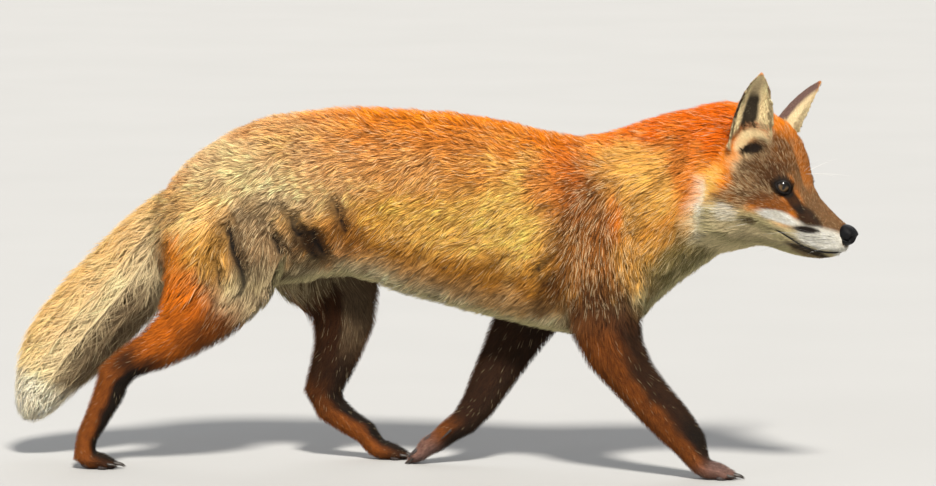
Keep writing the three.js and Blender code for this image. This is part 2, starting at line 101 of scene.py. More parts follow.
def softNoise(points, size, seed):  # smooth noise from -1 to 1; points and size in metres
    seedStep, hashes, seedHash = 17.31, (73856093, 19349663, 83492791), 1013
    cells = np.asarray(points) / size + seed * seedStep
    low = np.floor(cells).astype(np.int64)
    part = cells - low
    part = part * part * (3 - 2 * part)
    total = np.zeros(len(cells))
    for corner in range(8):
        step = np.array([corner & 1, corner >> 1 & 1, corner >> 2 & 1])
        x, y, z = ((low + step) * hashes).T
        mixed = x ^ y ^ z ^ (seed * seedHash)
        mixed = ((mixed & 0xFFFFFFF) * 1103515245 + 12345) >> 7
        total += np.prod(np.where(step, part, 1 - part), axis=1) * ((mixed % 10007) / 5003.5 - 1)
    return total


def alongPath(points, path):  # share of the path's length, nearest point on it, and its direction there
    best, run = np.full(len(points), 1e9), np.zeros(len(points))
    near, way = np.zeros((len(points), 3)), np.zeros((len(points), 3))
    lengths = np.linalg.norm(np.diff(path, axis=0), axis=1)
    done = 0.0
    for start, end, length in zip(path[:-1], path[1:], lengths):
        step = (end - start) / length
        t = np.clip((points - start) @ step, 0, length)
        spot = start + t[:, None] * step
        far = np.linalg.norm(points - spot, axis=1)
        closer = far < best
        best[closer], near[closer], way[closer] = far[closer], spot[closer], step
        run[closer] = (done + t[closer]) / lengths.sum()
        done += length
    return run, near, way


def linear(*rgb):  # a colour as a screen shows it, 0 to 255, to the numbers that light is reckoned in
    c = np.array(rgb, float) / 255
    return np.where(c <= 0.04045, c / 12.92, ((c + 0.055) / 1.055) ** 2.4)


def placed(name, data):
    thing = bpy.data.objects.new(name, data)
    scene.collection.objects.link(thing)
    return thing


def meshFrom(shape, name):
    mesh = bpy.data.meshes.new(name)
    shape.to_mesh(mesh)
    shape.free()
    return mesh


def evaluated(thing):  # its mesh with the modifiers worked in
    return bpy.data.meshes.new_from_object(thing.evaluated_get(bpy.context.evaluated_depsgraph_get()))


def numbersOf(items, key, width, kind=np.int32):
    flat = np.empty(len(items) * width, kind)
    items.foreach_get(key, flat)
    return flat.reshape(-1, width)


def pointsOf(mesh):
    return numbersOf(mesh.vertices, "co", 3, np.float32).astype(float)


def setPoints(mesh, places):
    mesh.vertices.foreach_set("co", np.asarray(places, np.float32).ravel())


def setTint(mesh, colours):
    layer = mesh.color_attributes.new("coatTint", "FLOAT_COLOR", "POINT")
    layer.data.foreach_set("color", np.c_[colours, np.ones(len(colours))].astype(np.float32).ravel())


# the body's own lines
tailPath = metres([(-262, 0, 310), (-298, 0, 277), (-322, 1, 252), (-349, 4, 221), (-374, 8, 190),
                   (-404, 13, 157), (-431, 17, 126), (-450, 20, 100), (-463, 21, 77), (-471, 21, 60)])
legPaths = {
    "foreRight": metres([(120, -24, 322), (130, -35, 290), (144, -42, 244), (148, -44, 200), (151, -44, 160),
                         (162, -44, 130), (179, -43, 106), (199, -42, 82), (222, -41, 57), (240, -41, 36),
                         (257, -41, 12), (290, -41, 6)]),
    "foreLeft": metres([(108, 24, 322), (108, 35, 290), (102, 42, 244), (82, 44, 202), (62, 44, 168),
                        (46, 42, 138), (32, 40, 112), (18, 37, 86), (5, 34, 62), (-9, 32, 45), (-24, 31, 35),
                        (-44, 30, 21.5), (-66, 30, 3)]),
    "hindRight": metres([(-236, -24, 318), (-240, -34, 280), (-244, -40, 238), (-254, -43, 202),
                         (-276, -46, 170), (-302, -49, 144), (-330, -52, 125), (-354, -53, 113),
                         (-369, -54, 99), (-376, -54, 78), (-388, -54, 54), (-399, -54, 33),
                         (-397, -54, 10), (-366, -54, 6)]),
    "hindLeft": metres([(-222, 24, 314), (-208, 34, 276), (-184, 41, 240), (-158, 45, 210), (-142, 47, 180),
                        (-141, 49, 150), (-147, 52, 120), (-156, 54, 95), (-164, 56, 73), (-156, 58, 54),
                        (-138, 59, 40), (-119, 60, 28), (-102, 60, 10), (-70, 60, 6)]),
}
ridge = {"x": [-326, -264, -221, -179, -132, -74, -19, 34, 77, 110, 136, 166, 204, 240, 296],
         "top": [292, 350, 370, 378, 384, 384, 380, 373, 363, 357, 358, 367, 379, 388, 392],
         "bottom": [215, 192, 186, 192, 201, 184, 169, 157, 147, 142, 146, 160, 185, 210, 248]}
earLines = {"earRight": ((-131, -37, 34), (-140, -60, 121)), "earLeft": ((-131, 37, 34), (-127, 61, 117))}

parts = {"head": ["head", "jaw"], "earRight": ["ear_right"], "earLeft": ["ear_left"], "neck": ["neck"],
         "chest": ["chest"], "belly": ["belly"], "rump": ["rump"], "tail": ["tail_root", "tail_brush", "tail_tip"]}
legNodes = {"fore": ("shoulder", "forearm", "paw"), "hind": ("thigh", "shank", "metatarsus", "paw")}
for half, nodes in legNodes.items():
    for word in sideWords.values():
        parts[half + word] = [f"{half}leg_{word.lower()}_{node}" for node in nodes]
partNumber = {name: k for k, name in enumerate(parts)}


def perPart(values):  # a number for each part; right and left share theirs
    return np.array([values[name.replace("Right", "").replace("Left", "")] for name in parts])


# the skin
skinForm = {
    "voxel": 0.0018,  # metres between points of the skin
    "smoothRounds": 32, "shrink": 0.5, "swell": -0.52,  # there and back, so that nothing gets thinner
    "smoothing": {"head": 0.12, "ear": 0.05, "neck": 1, "chest": 1, "belly": 1, "rump": 1, "tail": 1, "fore": 0.5,
                  "hind": 0.5},
    "faceFrom": -100,  # how far behind the nose's tip the finer mesh of the face reaches
    "faceHalf": (60, 75),  # and how far sideways and up
    "thinnedTo": 0.3,
}
eyes = {"place": (-87.5, 25.5, 16.5), "radius": 8.8, "socketSpare": 1.0, "outward": 54, "upward": 5, "lid": 0.8,
        # from the nose's side, upwards
        "rimAngle": [-180, -150, -120, -90, -60, -33, -10, 30, 60, 90, 120, 150, 180],
        "rim": [8.2, 6.6, 6.2, 6.3, 7.0, 9.6, 7.6, 6.0, 5.5, 5.3, 5.6, 6.5, 8.2]}


def eyeFrame(side):  # middle of the eyeball, and the ways towards the nose, up and out along the gaze
    out, up = math.radians(eyes["outward"]), math.radians(eyes["upward"])
    gaze = np.array([math.cos(out) * math.cos(up), side * math.sin(out) * math.cos(up), math.sin(up)])
    across = unit(np.cross((0, 0, 1), gaze)) * -side
    across = across if across[0] > 0 else -across
    upward = np.cross(gaze, across)
    upward = upward if upward[2] > 0 else -upward
    return np.array(eyes["place"]) * (1, side, 1), np.array([across, upward, gaze])


def aroundEye(places, side):  # places in the eye's frame: themselves, distance, angle, and the rim's distance
    centre, axes = eyeFrame(side)
    local = (places - centre) @ axes.T
    angle = np.degrees(np.arctan2(local[:, 1], local[:, 0]))
    return local, np.hypot(local[:, 0], local[:, 1]), angle, np.interp(angle, eyes["rimAngle"], eyes["rim"])


def lidDome(r):
    radius = eyes["radius"] + eyes["lid"]
    return radius - r * r / (2 * radius) * (1 + 0.1 * (r / radius) ** 2)


flesh = [node for nodes in parts.values() for node in nodes]
whole = bmesh.new()
faceOwner = []
for name, nodes in parts.items():
    for node in nodes:
        piece = bmesh.new()
        piece.from_mesh(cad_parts[node].data)
        bmesh.ops.remove_doubles(piece, verts=piece.verts, dist=1e-6)
        bmesh.ops.triangulate(piece, faces=piece.faces)
        sheet = meshFrom(piece, "copy")
        faceOwner += [partNumber[name]] * len(sheet.polygons)
        whole.from_mesh(sheet)
        bpy.data.meshes.remove(sheet)
surface = BVHTree.FromBMesh(whole)
for side in sideWords:
    centre = Vector(fromHead([eyeFrame(side)[0]])[0])
    bmesh.ops.create_uvsphere(whole, u_segments=24, v_segments=16, matrix=Matrix.Translation(centre),
                              radius=(eyes["radius"] + eyes["socketSpare"]) / 1000)
skinMesh = meshFrom(whole, "skin")
skin = placed("skin", skinMesh)
remesh = skin.modifiers.new("one skin", "REMESH")
remesh.mode = "VOXEL"
remesh.voxel_size = skinForm["voxel"]
joined = evaluated(skin)
skin.modifiers.clear()
spots = toHead(pointsOf(joined))
fine = (spots[:, 0] > skinForm["faceFrom"]) & (abs(spots[:, 1:]) < skinForm["faceHalf"]).all(1)
shaper = bmesh.new()
shaper.from_mesh(joined)
inFace = [e for e in shaper.edges if fine[e.verts[0].index] and fine[e.verts[1].index]]
bmesh.ops.subdivide_edges(shaper, edges=inFace, cuts=1, use_grid_fill=True)
bmesh.ops.triangulate(shaper, faces=[f for f in shaper.faces if len(f.verts) > 4])
shaper.to_mesh(joined)
shaper.free()
skin.data = joined
bpy.data.meshes.remove(skinMesh)

count = len(joined.vertices)
points = pointsOf(joined)
edges = numbersOf(joined.edges, "vertices", 2)
joined.calc_loop_triangles()
triangles = numbersOf(joined.loop_triangles, "vertices", 3)
neighbours = edges[:, ::-1].T.ravel()[np.argsort(edges.T.ravel(), kind="stable")]
degree = np.bincount(edges.ravel(), minlength=count)
firstNeighbour = np.r_[0, np.cumsum(degree)[:-1]]
degree = degree[:, None].astype(np.float32)
label = np.array([faceOwner[surface.find_nearest(p)[2]] for p in points.tolist()])
print("skin mesh", count, "points")


def within(*names):  # which points of the skin belong to the parts
    return np.isin(label, [partNumber[name] for name in names])


def spread(values, rounds, share=0.5):  # evens values out over the skin
    values = np.array(values, np.float32).reshape(count, -1)
    for _ in range(rounds):
        mean = np.add.reduceat(values[neighbours], firstNeighbour, axis=0) / degree
        values += share * (mean - values)
    return values


def normalsAt(places):
    setPoints(joined, places)
    joined.update()
    return numbersOf(joined.vertex_normals, "vector", 3, np.float32).astype(float)


smoothing = spread(perPart(skinForm["smoothing"])[label], 8)
for _ in range(skinForm["smoothRounds"]):
    points = spread(points, 1, skinForm["shrink"] * smoothing)
    points = spread(points, 1, skinForm["swell"] * smoothing)
points = points.astype(float)
outer = points.copy()
normals = normalsAt(points)
share = spread(np.eye(len(parts))[label], 22)  # how much of each part a point belongs to
place = stride(points)
headPlace = toHead(points)
back, side, up = headPlace.T
isHead, isTail, isLeg, ears = within("head"), within("tail"), within(*legPaths), within(*earLines)


def shareOf(*names):
    return share[:, [partNumber[name] for name in names]].sum(1)


# how deep, how long and which way the coat lies
coatForm = {
    "headDepth": ([-184, -160, -140, -120, -100, -80, -55, -30, 0], [13, 13, 11, 7, 4, 2.6, 1.8, 1.4, 1.0]),
    "jowl": 3, "thighRear": 9, "brushUnder": 5,  # millimetres more behind the jaw, behind the thighs, under the brush
    "trunkDepth": {"neck": 11, "chest": 8, "belly": 8.5, "rump": 8},
    "earDepth": 1.2,
    "legDepth": ([0, 0.25, 0.42, 0.6, 0.75, 0.9, 1], [10, 9, 6.5, 4.2, 3.0, 2.2, 1.8]),
    "tailCore": ([0, 0.1, 0.25, 0.5, 1], [0.66, 0.6, 0.48, 0.38, 0.3]),  # core's share of the brush's radius
    "lengthOfDepth": {"head": 2.2, "ear": 4.0, "neck": 1.85, "chest": 1.7, "belly": 1.7, "rump": 1.7, "tail": 1.6,
                      "fore": 2.3, "hind": 2.3},
    "lengths": (3.5, 62),
    "unrest": {"head": 0.10, "ear": 0.08, "neck": 0.15, "chest": 0.36, "belly": 0.42, "rump": 0.5, "tail": 0.14,
               "fore": 0.16, "hind": 0.2},
    "besideEars": {"far": 44, "near": 24, "length": 7, "depth": 4},
}
alongLeg = np.zeros(count)
legWay = np.zeros((count, 3))
legNear = np.zeros((count, 3))
for name, path in legPaths.items():
    near = share[:, partNumber[name]] > 0.002
    alongLeg[near], legNear[near], legWay[near] = alongPath(points[near], path)
tailRun, tailNear, tailWay = alongPath(points, tailPath)
jowl = coatForm["jowl"] * ease(-105, -150, back) * ease(10, -40, up)
headDepth = np.interp(back, *coatForm["headDepth"]) + jowl

depth = np.where(isHead, headDepth, 0)
for name, value in coatForm["trunkDepth"].items():
    depth[within(name)] = value
depth[isLeg] = np.interp(alongLeg[isLeg], *coatForm["legDepth"])
depth[ears] = coatForm["earDepth"]
inward = -normals * depth[:, None] / 1000
core = np.interp(tailRun, *coatForm["tailCore"])[:, None]
inward[isTail] = ((tailNear - points) * (1 - core))[isTail]
points = points + np.where(ears[:, None], inward, spread(inward, 16))
points = blend(points, spread(points, 3), np.where(ears, 0.2, 0.6)[:, None])
print("coat depth set")

# the face: sockets, lids, mouth
mouth = {"line": [(-3, -23), (-11, -26.5), (-21, -30.5), (-33, -33), (-46, -33.5), (-58, -31), (-68, -29),
                  (-76, -28.5)],
         "groove": 2.0, "width": 1.7, "lipAbove": 0.9, "lipBelow": -0.3}
lidForm = {"brow": 1.3, "crease": -0.7, "tearway": 0.8, "ballSunk": 3.0}
headPlace = toHead(points)
for s in sideWords:
    centre, axes = eyeFrame(s)
    local, r, angle, rim = aroundEye(headPlace, s)
    mine = isHead & (r < 20) & (local[:, 2] > -4)
    raised = lidForm["brow"] * hill(r, 12, 4) * np.clip(np.sin(np.radians(angle - 20)), 0, 1)
    folded = lidForm["crease"] * hill(r - rim, 2.6, 0.8) * np.clip(np.sin(np.radians(angle)), 0, 1)
    tearway = lidForm["tearway"] * hill(r, 11, 4) * hill(angle, -32, 20)
    level = blend(lidDome(r), local[:, 2], ease(8.0, 15.5, r)) + raised + folded - tearway
    ball = np.sqrt(np.maximum(eyes["radius"] ** 2 - r * r, 0)) - lidForm["ballSunk"]
    level = np.where(r / rim < 1, blend(ball, level, ease(0.84, 1.0, r / rim)), level)
    local[mine, 2] = level[mine]
    headPlace[mine] = (local @ axes + centre)[mine]
points = np.where(isHead[:, None], fromHead(headPlace), points)
flat = toHead(points) * (1, 0, 1)
_, spot, _ = alongPath(flat, np.array([(b, 0, u) for b, u in mouth["line"]]))
gapTo = np.linalg.norm(flat - spot, axis=1)
inMouth = isHead & (back > -86)
push = -mouth["groove"] * hill(gapTo, 0, mouth["width"])
push += np.where(flat[:, 2] > spot[:, 2], mouth["lipAbove"], mouth["lipBelow"]) * hill(gapTo, 4.5, 3)
points = points + normalsAt(points) * (push * (ease(-86, -74, back) * inMouth) / 1000)[:, None]
smoother = np.where(isHead & (back > skinForm["faceFrom"]), 0.35, 0)[:, None]
points = blend(points, spread(points, 1), smoother)
normals = normalsAt(points)
depth = np.linalg.norm(outer - points, axis=1) * 1000
depth[ears] = coatForm["earDepth"]
fromLeg, fromTail = stride(points) - stride(legNear), stride(points) - stride(tailNear)
behindThigh = ease(0.06, 0.14, alongLeg) * ease(0.46, 0.38, alongLeg) * ease(-6, -14, fromLeg[:, 0])
depth += coatForm["thighRear"] * behindThigh * within("hindRight", "hindLeft")
depth += coatForm["brushUnder"] * isTail * ease(0.62, 0.4, tailRun) * ease(0, -12, fromTail[:, 2])
depth[isHead] = headDepth[isHead]
print("face shaped")

spine, keel = (np.interp(place[:, 0], ridge["x"], ridge[key]) for key in ("top", "bottom"))
level = np.clip((place[:, 2] - keel) / (spine - keel), 0, 1)
drop = np.interp(level, [0, 0.3, 0.6, 0.85, 1], [0.4, 0.8, 0.6, 0.25, 0])
lie = np.stack([-np.ones(count), 0 * level, -drop], 1)
trunkWays = [  # where the trunk's coat lies otherwise, and how
    (ease(0.55, 0.2, level) * ease(170, 220, place[:, 0]), (-0.75, 0, -0.9)),
    (ease(90, 130, place[:, 0]) * ease(200, 160, place[:, 0]) * ease(0.85, 0.6, level), (-0.6, 0, -1.0)),
    (ease(-170, -230, place[:, 0]) * ease(0.9, 0.5, level), (-0.8, 0, -0.8)),
]
for mask, way in trunkWays:
    lie = blend(lie, np.array(way), mask[:, None])
lie = unit(lie)
lie[isLeg] = unit(blend(lie, legWay, ease(0.05, 0.3, alongLeg)[:, None]))[isLeg]
lie[isTail] = tailWay[isTail]
outwards = np.sign(side) * ease(-60, -150, back) * 0.45
rise = np.interp(back, [-170, -125, -95, -75, -50, 0], [0.1, 0.35, 0.6, 0.7, 0.25, 0.1]) * ease(-5, 25, up)
sink = -0.35 * ease(0, -40, up) * ease(-70, -120, back)
headLie = unit(np.stack([-np.ones(count), outwards, rise + sink], 1)) @ headTurn.T
lie[isHead] = headLie[isHead]
for name, (root, tip) in earLines.items():
    lie[within(name)] = unit(fromHead([tip])[0] - fromHead([root])[0])
lie = flattened(spread(lie, 14), normals)

hairLength = np.clip(depth * (share @ perPart(coatForm["lengthOfDepth"])), *coatForm["lengths"])
unrest = share @ perPart(coatForm["unrest"])
beside = coatForm["besideEars"]
for root, _ in earLines.values():  # short and flat on the head around each ear
    near = ease(beside["far"], beside["near"], np.linalg.norm(headPlace - root, axis=1)) * isHead
    hairLength = blend(hairLength, np.minimum(hairLength, beside["length"]), near)
    depth = blend(depth, np.minimum(depth, beside["depth"]), near)
    lie = np.where((near > 0.02)[:, None], headLie, lie)
lie = flattened(lie, normals)

# markings, the same for skin and coat
tints = {name: linear(*rgb) for name, rgb in {
    "flame": (234, 108, 12), "amber": (240, 134, 22), "honey": (255, 196, 100), "gold": (252, 184, 82),
    "ochre": (190, 128, 50), "sand": (252, 198, 126), "cream": (248, 224, 176), "white": (244, 240, 226),
    "rust": (204, 96, 26), "umber": (74, 43, 22), "brown": (128, 76, 38), "grey": (150, 128, 98),
    "cheek": (122, 90, 58), "bark": (104, 64, 28), "soot": (26, 19, 15), "throat": (196, 184, 134),
    # moss is the throat's colour darkened: painted shade under the neck and chest
    "moss": (126, 116, 74), "tawny": (222, 142, 64), "fawn": (234, 168, 104), "tan": (172, 108, 44),
    "lilac": (150, 118, 110),
}.items()}
bands = {"level": [0, 0.10, 0.22, 0.5, 0.8, 1.0],  # down the side, from the belly to the spine
         "rear": ["cream", "throat", "ochre", "sand", "sand", "fawn"],
         "middle": ["throat", "cream", "ochre", "gold", "tawny", "amber"],
         # the front's lowest stop is painted shade under the chest
         "front": ["moss", "throat", "gold", "amber", "flame", "flame"]}
markForm = {"outer": 1.25, "inner": 0.72, "ragged": 0.16, "trunkDark": 0.14, "trunkPale": 0.12, "headDark": 0.08,
            "headPale": 0.15, "foreDark": 0.5, "hindDark": 0.3, "legPale": 0.025, "tailPale": 0.2}
# each: middle x and z, half sizes, lean in degrees, colour, strength, dark ticking, pale ticking
bodyMarks = [
    ("flankShade", 30, 196, 110, 22, -12, "ochre", 0.7, 0.25, 0.0),
    ("flankGlow", -6, 262, 74, 30, -6, "honey", 0.6, 0.1, 0.15),
    ("flankBright", 66, 286, 44, 54, 0, "honey", 0.85, 0.08, 0.1),
    ("neckSide", 192, 318, 58, 40, 0, "honey", 0.8, 0.03, 0.08),
    ("neckBack", 236, 330, 16, 40, 10, "flame", 0.6, 0.05, 0.0),
    ("shoulderTop", 104, 306, 30, 34, 30, "flame", 0.5, 0.15, 0.05),
    ("shoulder", 142, 238, 48, 76, 8, "brown", 0.85, 0.4, 0.35),
    ("shoulderEdge", 190, 250, 24, 52, 0, "gold", 0.5, 0.3, 0.3),
    ("armpit", 92, 196, 13, 34, -20, "umber", 0.6, 0.3, 0.0),
    ("upperArm", 150, 166, 38, 40, 0, "umber", 0.8, 0.4, 0.15),
    # painted shade over the pale throat
    ("throatInShade", 248, 214, 52, 50, 0, "moss", 0.85, 0.3, 0.15),
    ("rumpPale", -250, 322, 70, 34, -24, "cream", 0.4, 0.08, 0.2),
    ("ripples", -172, 300, 50, 38, -20, "cream", 0.35, 0.22, 0.2),
    ("haunchGrizzle", -212, 232, 42, 48, 24, "grey", 0.8, 0.5, 0.3),
    ("backSheen", -110, 320, 90, 26, -8, "fawn", 0.55, 0.12, 0.2),
    ("haunchTan", -134, 246, 34, 28, 20, "tan", 0.7, 0.45, 0.1),
    ("haunchDark", -164, 248, 15, 26, 20, "soot", 0.8, 0.4, 0.05),
    ("thighRear", -292, 180, 26, 56, 14, "amber", 0.9, 0.1, 0.0),
    ("hamstring", -262, 226, 18, 40, 10, "gold", 0.6, 0.2, 0.1),
]
headMarks = [  # the same in the head's frame: behind the nose's tip and up
    ("cheekLow", -108, -38, 50, 25, -6, "throat", 0.85, 0.25, 0.2),
    ("ruffTop", -158, 26, 30, 50, 0, "amber", 0.8, 0.02, 0.08),
    ("ruffHoney", -152, -8, 20, 22, 0, "honey", 0.8, 0.0, 0.1),
    ("ruffPale", -152, -36, 12, 36, 18, "white", 0.72, 0.0, 0.1),
    ("ruffEdge", -152, -52, 11, 16, 20, "cream", 0.8, 0.0, 0.1),
    ("cheekLowPale", -98, -43, 34, 11, -4, "cream", 0.6, 0.15, 0.2),
    ("cheekDark", -106, 12, 27, 24, 0, "cheek", 0.95, 0.42, 0.4),
    ("cheekBack", -117, -10, 16, 13, 10, "cheek", 0.75, 0.4, 0.4),
    ("cheekSpotPale", -119, -27, 11, 9, 0, "white", 0.6, 0.15, 0.3),
    ("browOrange", -86, -5, 21, 9, 6, "brown", 0.75, 0.2, 0.05),
    ("forehead", -100, 44, 30, 30, 20, "bark", 0.92, 0.4, 0.25),
    ("crownRim", -90, 72, 40, 11, 0, "amber", 0.6, 0.05, 0.1),
    ("eyeShade", -84, 24, 20, 15, 0, "umber", 0.6, 0.2, 0.05),
    ("bridge", -42, 13, 46, 15, -28, "cheek", 0.9, 0.15, 0.1),
    ("muzzleSide", -47, -5, 18, 8.5, -24, "soot", 0.88, 0.15, 0.0),
    ("underEye", -73, -14.5, 21, 6.2, 2, "white", 0.97, 0.02, 0.0),
    ("whiteLip", -29, -18.5, 27, 11, 14, "white", 0.97, 0.06, 0.0),
    ("lipTop", -45, -15.5, 14, 3.4, 16, "soot", 1.0, 0.0, 0.0),
    ("tear", -69, 7, 17, 5.2, -32, "soot", 0.95, 0.0, 0.0),
    ("cheekSpot", -97, -28, 7, 3.5, -10, "umber", 0.75, 0.3, 0.0),
    ("chin", -46, -50, 50, 9.5, 0, "throat", 0.8, 0.1, 0.0),
    ("chinTan", -34, -40, 28, 6, -4, "cheek", 0.7, 0.2, 0.0),
    ("lipDark", -36, -37, 26, 3.0, 3, "soot", 0.88, 0.0, 0.0),
    ("lipFront", -5, -25, 10, 9, 0, "white", 0.9, 0.1, 0.0),
    ("earFringe", -139, 46, 9, 12, 0, "cream", 0.75, 0.0, 0.1),
    ("earFoot", -127, 40, 9, 5.5, 30, "soot", 1.0, 0.1, 0.0),
]


def hue(colour):  # a named colour, or two of them mixed, with the second one's share
    return blend(hue(colour[0]), hue(colour[1]), colour[2]) if isinstance(colour, tuple) else tints[colour]


def layered(base, *layers):  # colours laid one over another, each with its mask
    for colour, mask in layers:
        base = blend(base, hue(colour), mask[:, None])
    return base


def marked(first, second, marks, tint, dark, pale, noise, loose=0.0):
    dark, pale = np.full(count, dark), np.full(count, pale)
    for name, x, z, rx, rz, lean, colour, strength, ticks, flecks in marks:
        c, s = math.cos(math.radians(lean)), math.sin(math.radians(lean))
        along, across = (first - x) * c + (second - z) * s, (second - z) * c - (first - x) * s
        far = np.sqrt((along / rx) ** 2 + (across / rz) ** 2) + markForm["ragged"] * noise
        mask = strength * ease(markForm["outer"] + loose, markForm["inner"] - 0.5 * loose, far)
        tint = layered(tint, (colour, mask))
        dark, pale = blend(dark, ticks, mask), blend(pale, flecks, mask)
    return tint, dark, pale


def bandTint(key, level):
    stops = np.array([tints[t] for t in bands[key]])
    return np.stack([np.interp(level, bands["level"], stops[:, k]) for k in range(3)], 1)


def earFrame(name):  # side, root, the ways along it and out of its hollow, length
    s = -1 if name == "earRight" else 1
    root, tip = (np.array(end, float) for end in earLines[name])
    way = unit(tip - root)
    opening = np.array([0.62, s * 0.78, 0])
    return s, root, way, unit(opening - way * opening @ way), np.linalg.norm(tip - root)


def byEar(name, reach):  # how far from the ear's lower part, along it, out of its hollow, ahead; on its side or not
    s, root, way, opening, _ = earFrame(name)
    offset = headPlace - root
    along = offset @ way
    gap = np.linalg.norm(offset - way * np.clip(along, 0, reach)[:, None], axis=1)
    return gap, along, offset @ opening, offset[:, 0], side * s > 12


wander = softNoise(points, 0.022, 3) + 0.6 * softNoise(points, 0.008, 4)
x, _, z = place.T
soft = np.clip(level + 0.05 * wander, 0, 1)
front = ease(60, 190, x + 12 * wander)[:, None]
rear = ease(-90, -210, x + 12 * wander)[:, None]
trunkTint = blend(blend(bandTint("middle", soft), bandTint("front", soft), front), bandTint("rear", soft), rear)
trunkTint, dark, pale = marked(x, z, bodyMarks, trunkTint, markForm["trunkDark"], markForm["trunkPale"],
                               2.2 * wander, 0.25)
trunkTint = layered(trunkTint, ("throat", ease(0.6, 0.2, abs(normals[:, 1])) * ease(0, -0.5, normals[:, 2])))

lowFrom = np.interp(back, [-110, -90], [-20, -8])
headTint = layered(tints["amber"], ("bark", 0.8 * ease(-66, -56, back)),
                   (("throat", "cream", 0.35), ease(lowFrom, lowFrom - 18, up + 4 * wander)))
for name in earLines:
    gap, along, out, _, onSide = byEar(name, 30)
    foot = 0.85 * ease(24, 17, gap) * onSide * ease(-8, -12, out) * ease(0, 12, along)
    headTint = layered(headTint, ("cream", 0.9 * (ease(30, 21, gap) * onSide) * ease(-8, -2, out)),
                       (("umber", "soot", 0.4), foot))
headTint, headDark, headPale = marked(back, up, headMarks, headTint, markForm["headDark"], markForm["headPale"],
                                      0.95 * wander)
for name in earLines:
    gap, along, _, ahead, onSide = byEar(name, 40)
    fringe = 0.9 * ease(27, 18, gap + 3 * wander) * onSide * ease(8, 15, along + 2 * wander)
    fringe = fringe * ease(-40, -20, ahead)
    headTint = layered(headTint, (("cream", "throat", 0.3), fringe))
    headDark = headDark * (1 - fringe)
facing = normals @ headTurn
onTop = ease(0.5, 0.15, abs(facing[:, 1])) * ease(32, 22, abs(side)) * ease(0.1, 0.6, facing[:, 2])
headTint = layered(headTint, (("brown", "amber", 0.55), onTop * ease(-58, -75, back) * 0.8),
                   (("cheek", "brown", 0.4), onTop * ease(-70, -40, back) * 0.75))
for s in sideWords:  # the dark skin round each eye
    local, r, angle, rim = aroundEye(toHead(points), s)
    reach = 2.2 + 5.5 * hill(angle, -30, 32)
    ring = ease(reach + 1.6, reach, r - rim) * (local[:, 2] > -6) * (r < 24)
    headTint = layered(headTint, ("soot", 0.96 * ring))
    headDark, headPale = blend(headDark, 0, ring), blend(headPale, 0, ring)

radial = unit(points - legNear)
forward = np.cross(np.tile((0, 1, 0), (count, 1)), legWay) * -1
forward = np.where(forward[:, :1] < 0, -forward, forward)
frontness = (radial * unit(forward)).sum(1)
outness = radial[:, 1] * np.where(points[:, 1] < 0, -1, 1)
# the legs' inner sides are painted darker below: partly their own dark fur, partly painted shadow of the body
inner = ease(0.4, -0.3, outness)
isHind = shareOf("hindRight", "hindLeft") > 0.001
foreRust = ((("rust", "amber", 0.3), "brown", 0.25), "bark", 0.62)
foreTint = layered(
    hue(foreRust), (("umber", "soot", 0.4), ease(-0.3, 0.7, frontness + 0.4 * wander)),
    ("brown", ease(0.5, 0.36, alongLeg)),
    ("soot", hill(alongLeg, 0.83, 0.07) * ease(-0.1, 0.5, frontness)),
    ("lilac", ease(0.87, 0.94, alongLeg) * 0.75),
    # inner side: dark fur and painted shadow of the body
    (("umber", "soot", 0.6), inner * 0.95 * ease(0.9, 0.78, alongLeg)))
hindTint = layered(
    hue(("rust", "amber", 0.5)), (foreRust, 0.9 * ease(0.5, 0.66, alongLeg)),
    ("soot", ease(0.0, 0.7, frontness + 0.3 * wander) * ease(0.48, 0.62, alongLeg)),
    ("umber", 0.7 * ease(-0.2, 0.6, frontness) * ease(0.56, 0.44, alongLeg)),
    ("soot", 0.8 * (hill(alongLeg, 0.63, 0.035) * ease(0.2, 0.8, outness))),
    ("soot", 0.85 * ease(0.9, 0.97, alongLeg)),
    # inner side: dark fur and painted shadow of the body
    (("umber", "soot", 0.7), inner * 0.95 * ease(0.8, 0.62, alongLeg)),
    (("grey", "umber", 0.35), 0.75 * (inner * ease(-0.1, 0.5, frontness) * ease(0.6, 0.5, alongLeg))))
isLower = np.where(isHind, ease(0.26, 0.4, alongLeg), ease(0.34, 0.46, alongLeg))
legTint = blend(trunkTint, np.where(isHind[:, None], hindTint, foreTint), isLower[:, None])

aloft = (points - tailNear) @ np.array([-0.7, 0, 0.7])
tailTop = ease(-0.3, 0.6, aloft / 0.03)
# umber along the brush's underside: partly its dark hairs, partly painted shade
lowSide = ease(-0.2, -0.85, aloft / 0.012) * ease(0.3, 0.5, tailRun + 0.06 * wander) * ease(0.93, 0.84, tailRun)
patch = hill(tailRun, 0.27, 0.1) * ease(0.85, 0.35, tailTop)
tailTint = layered(tints["cream"], ("sand", tailTop), ("umber", 0.8 * lowSide), ("grey", 0.12 * patch),
                   (("white", "cream", 0.5), ease(0.84, 0.93, tailRun + 0.02 * wander)))


def overlaid(names, zoneTint, zoneDark, zonePale):
    w = shareOf(*names)
    return blend(tint, zoneTint, w[:, None]), blend(dark, zoneDark, w), blend(pale, zonePale, w)


tint = trunkTint
tint, dark, pale = overlaid(["head"], headTint, headDark, headPale)
isLow = alongLeg > 0.4
legDark = np.where(isLow, np.where(isHind, markForm["hindDark"], markForm["foreDark"]), dark)
tint, dark, pale = overlaid(legPaths, legTint, legDark, np.where(isLow, markForm["legPale"], pale))
tint, dark, pale = overlaid(["tail"], tailTint, 0.05 + 0.08 * patch, markForm["tailPale"])

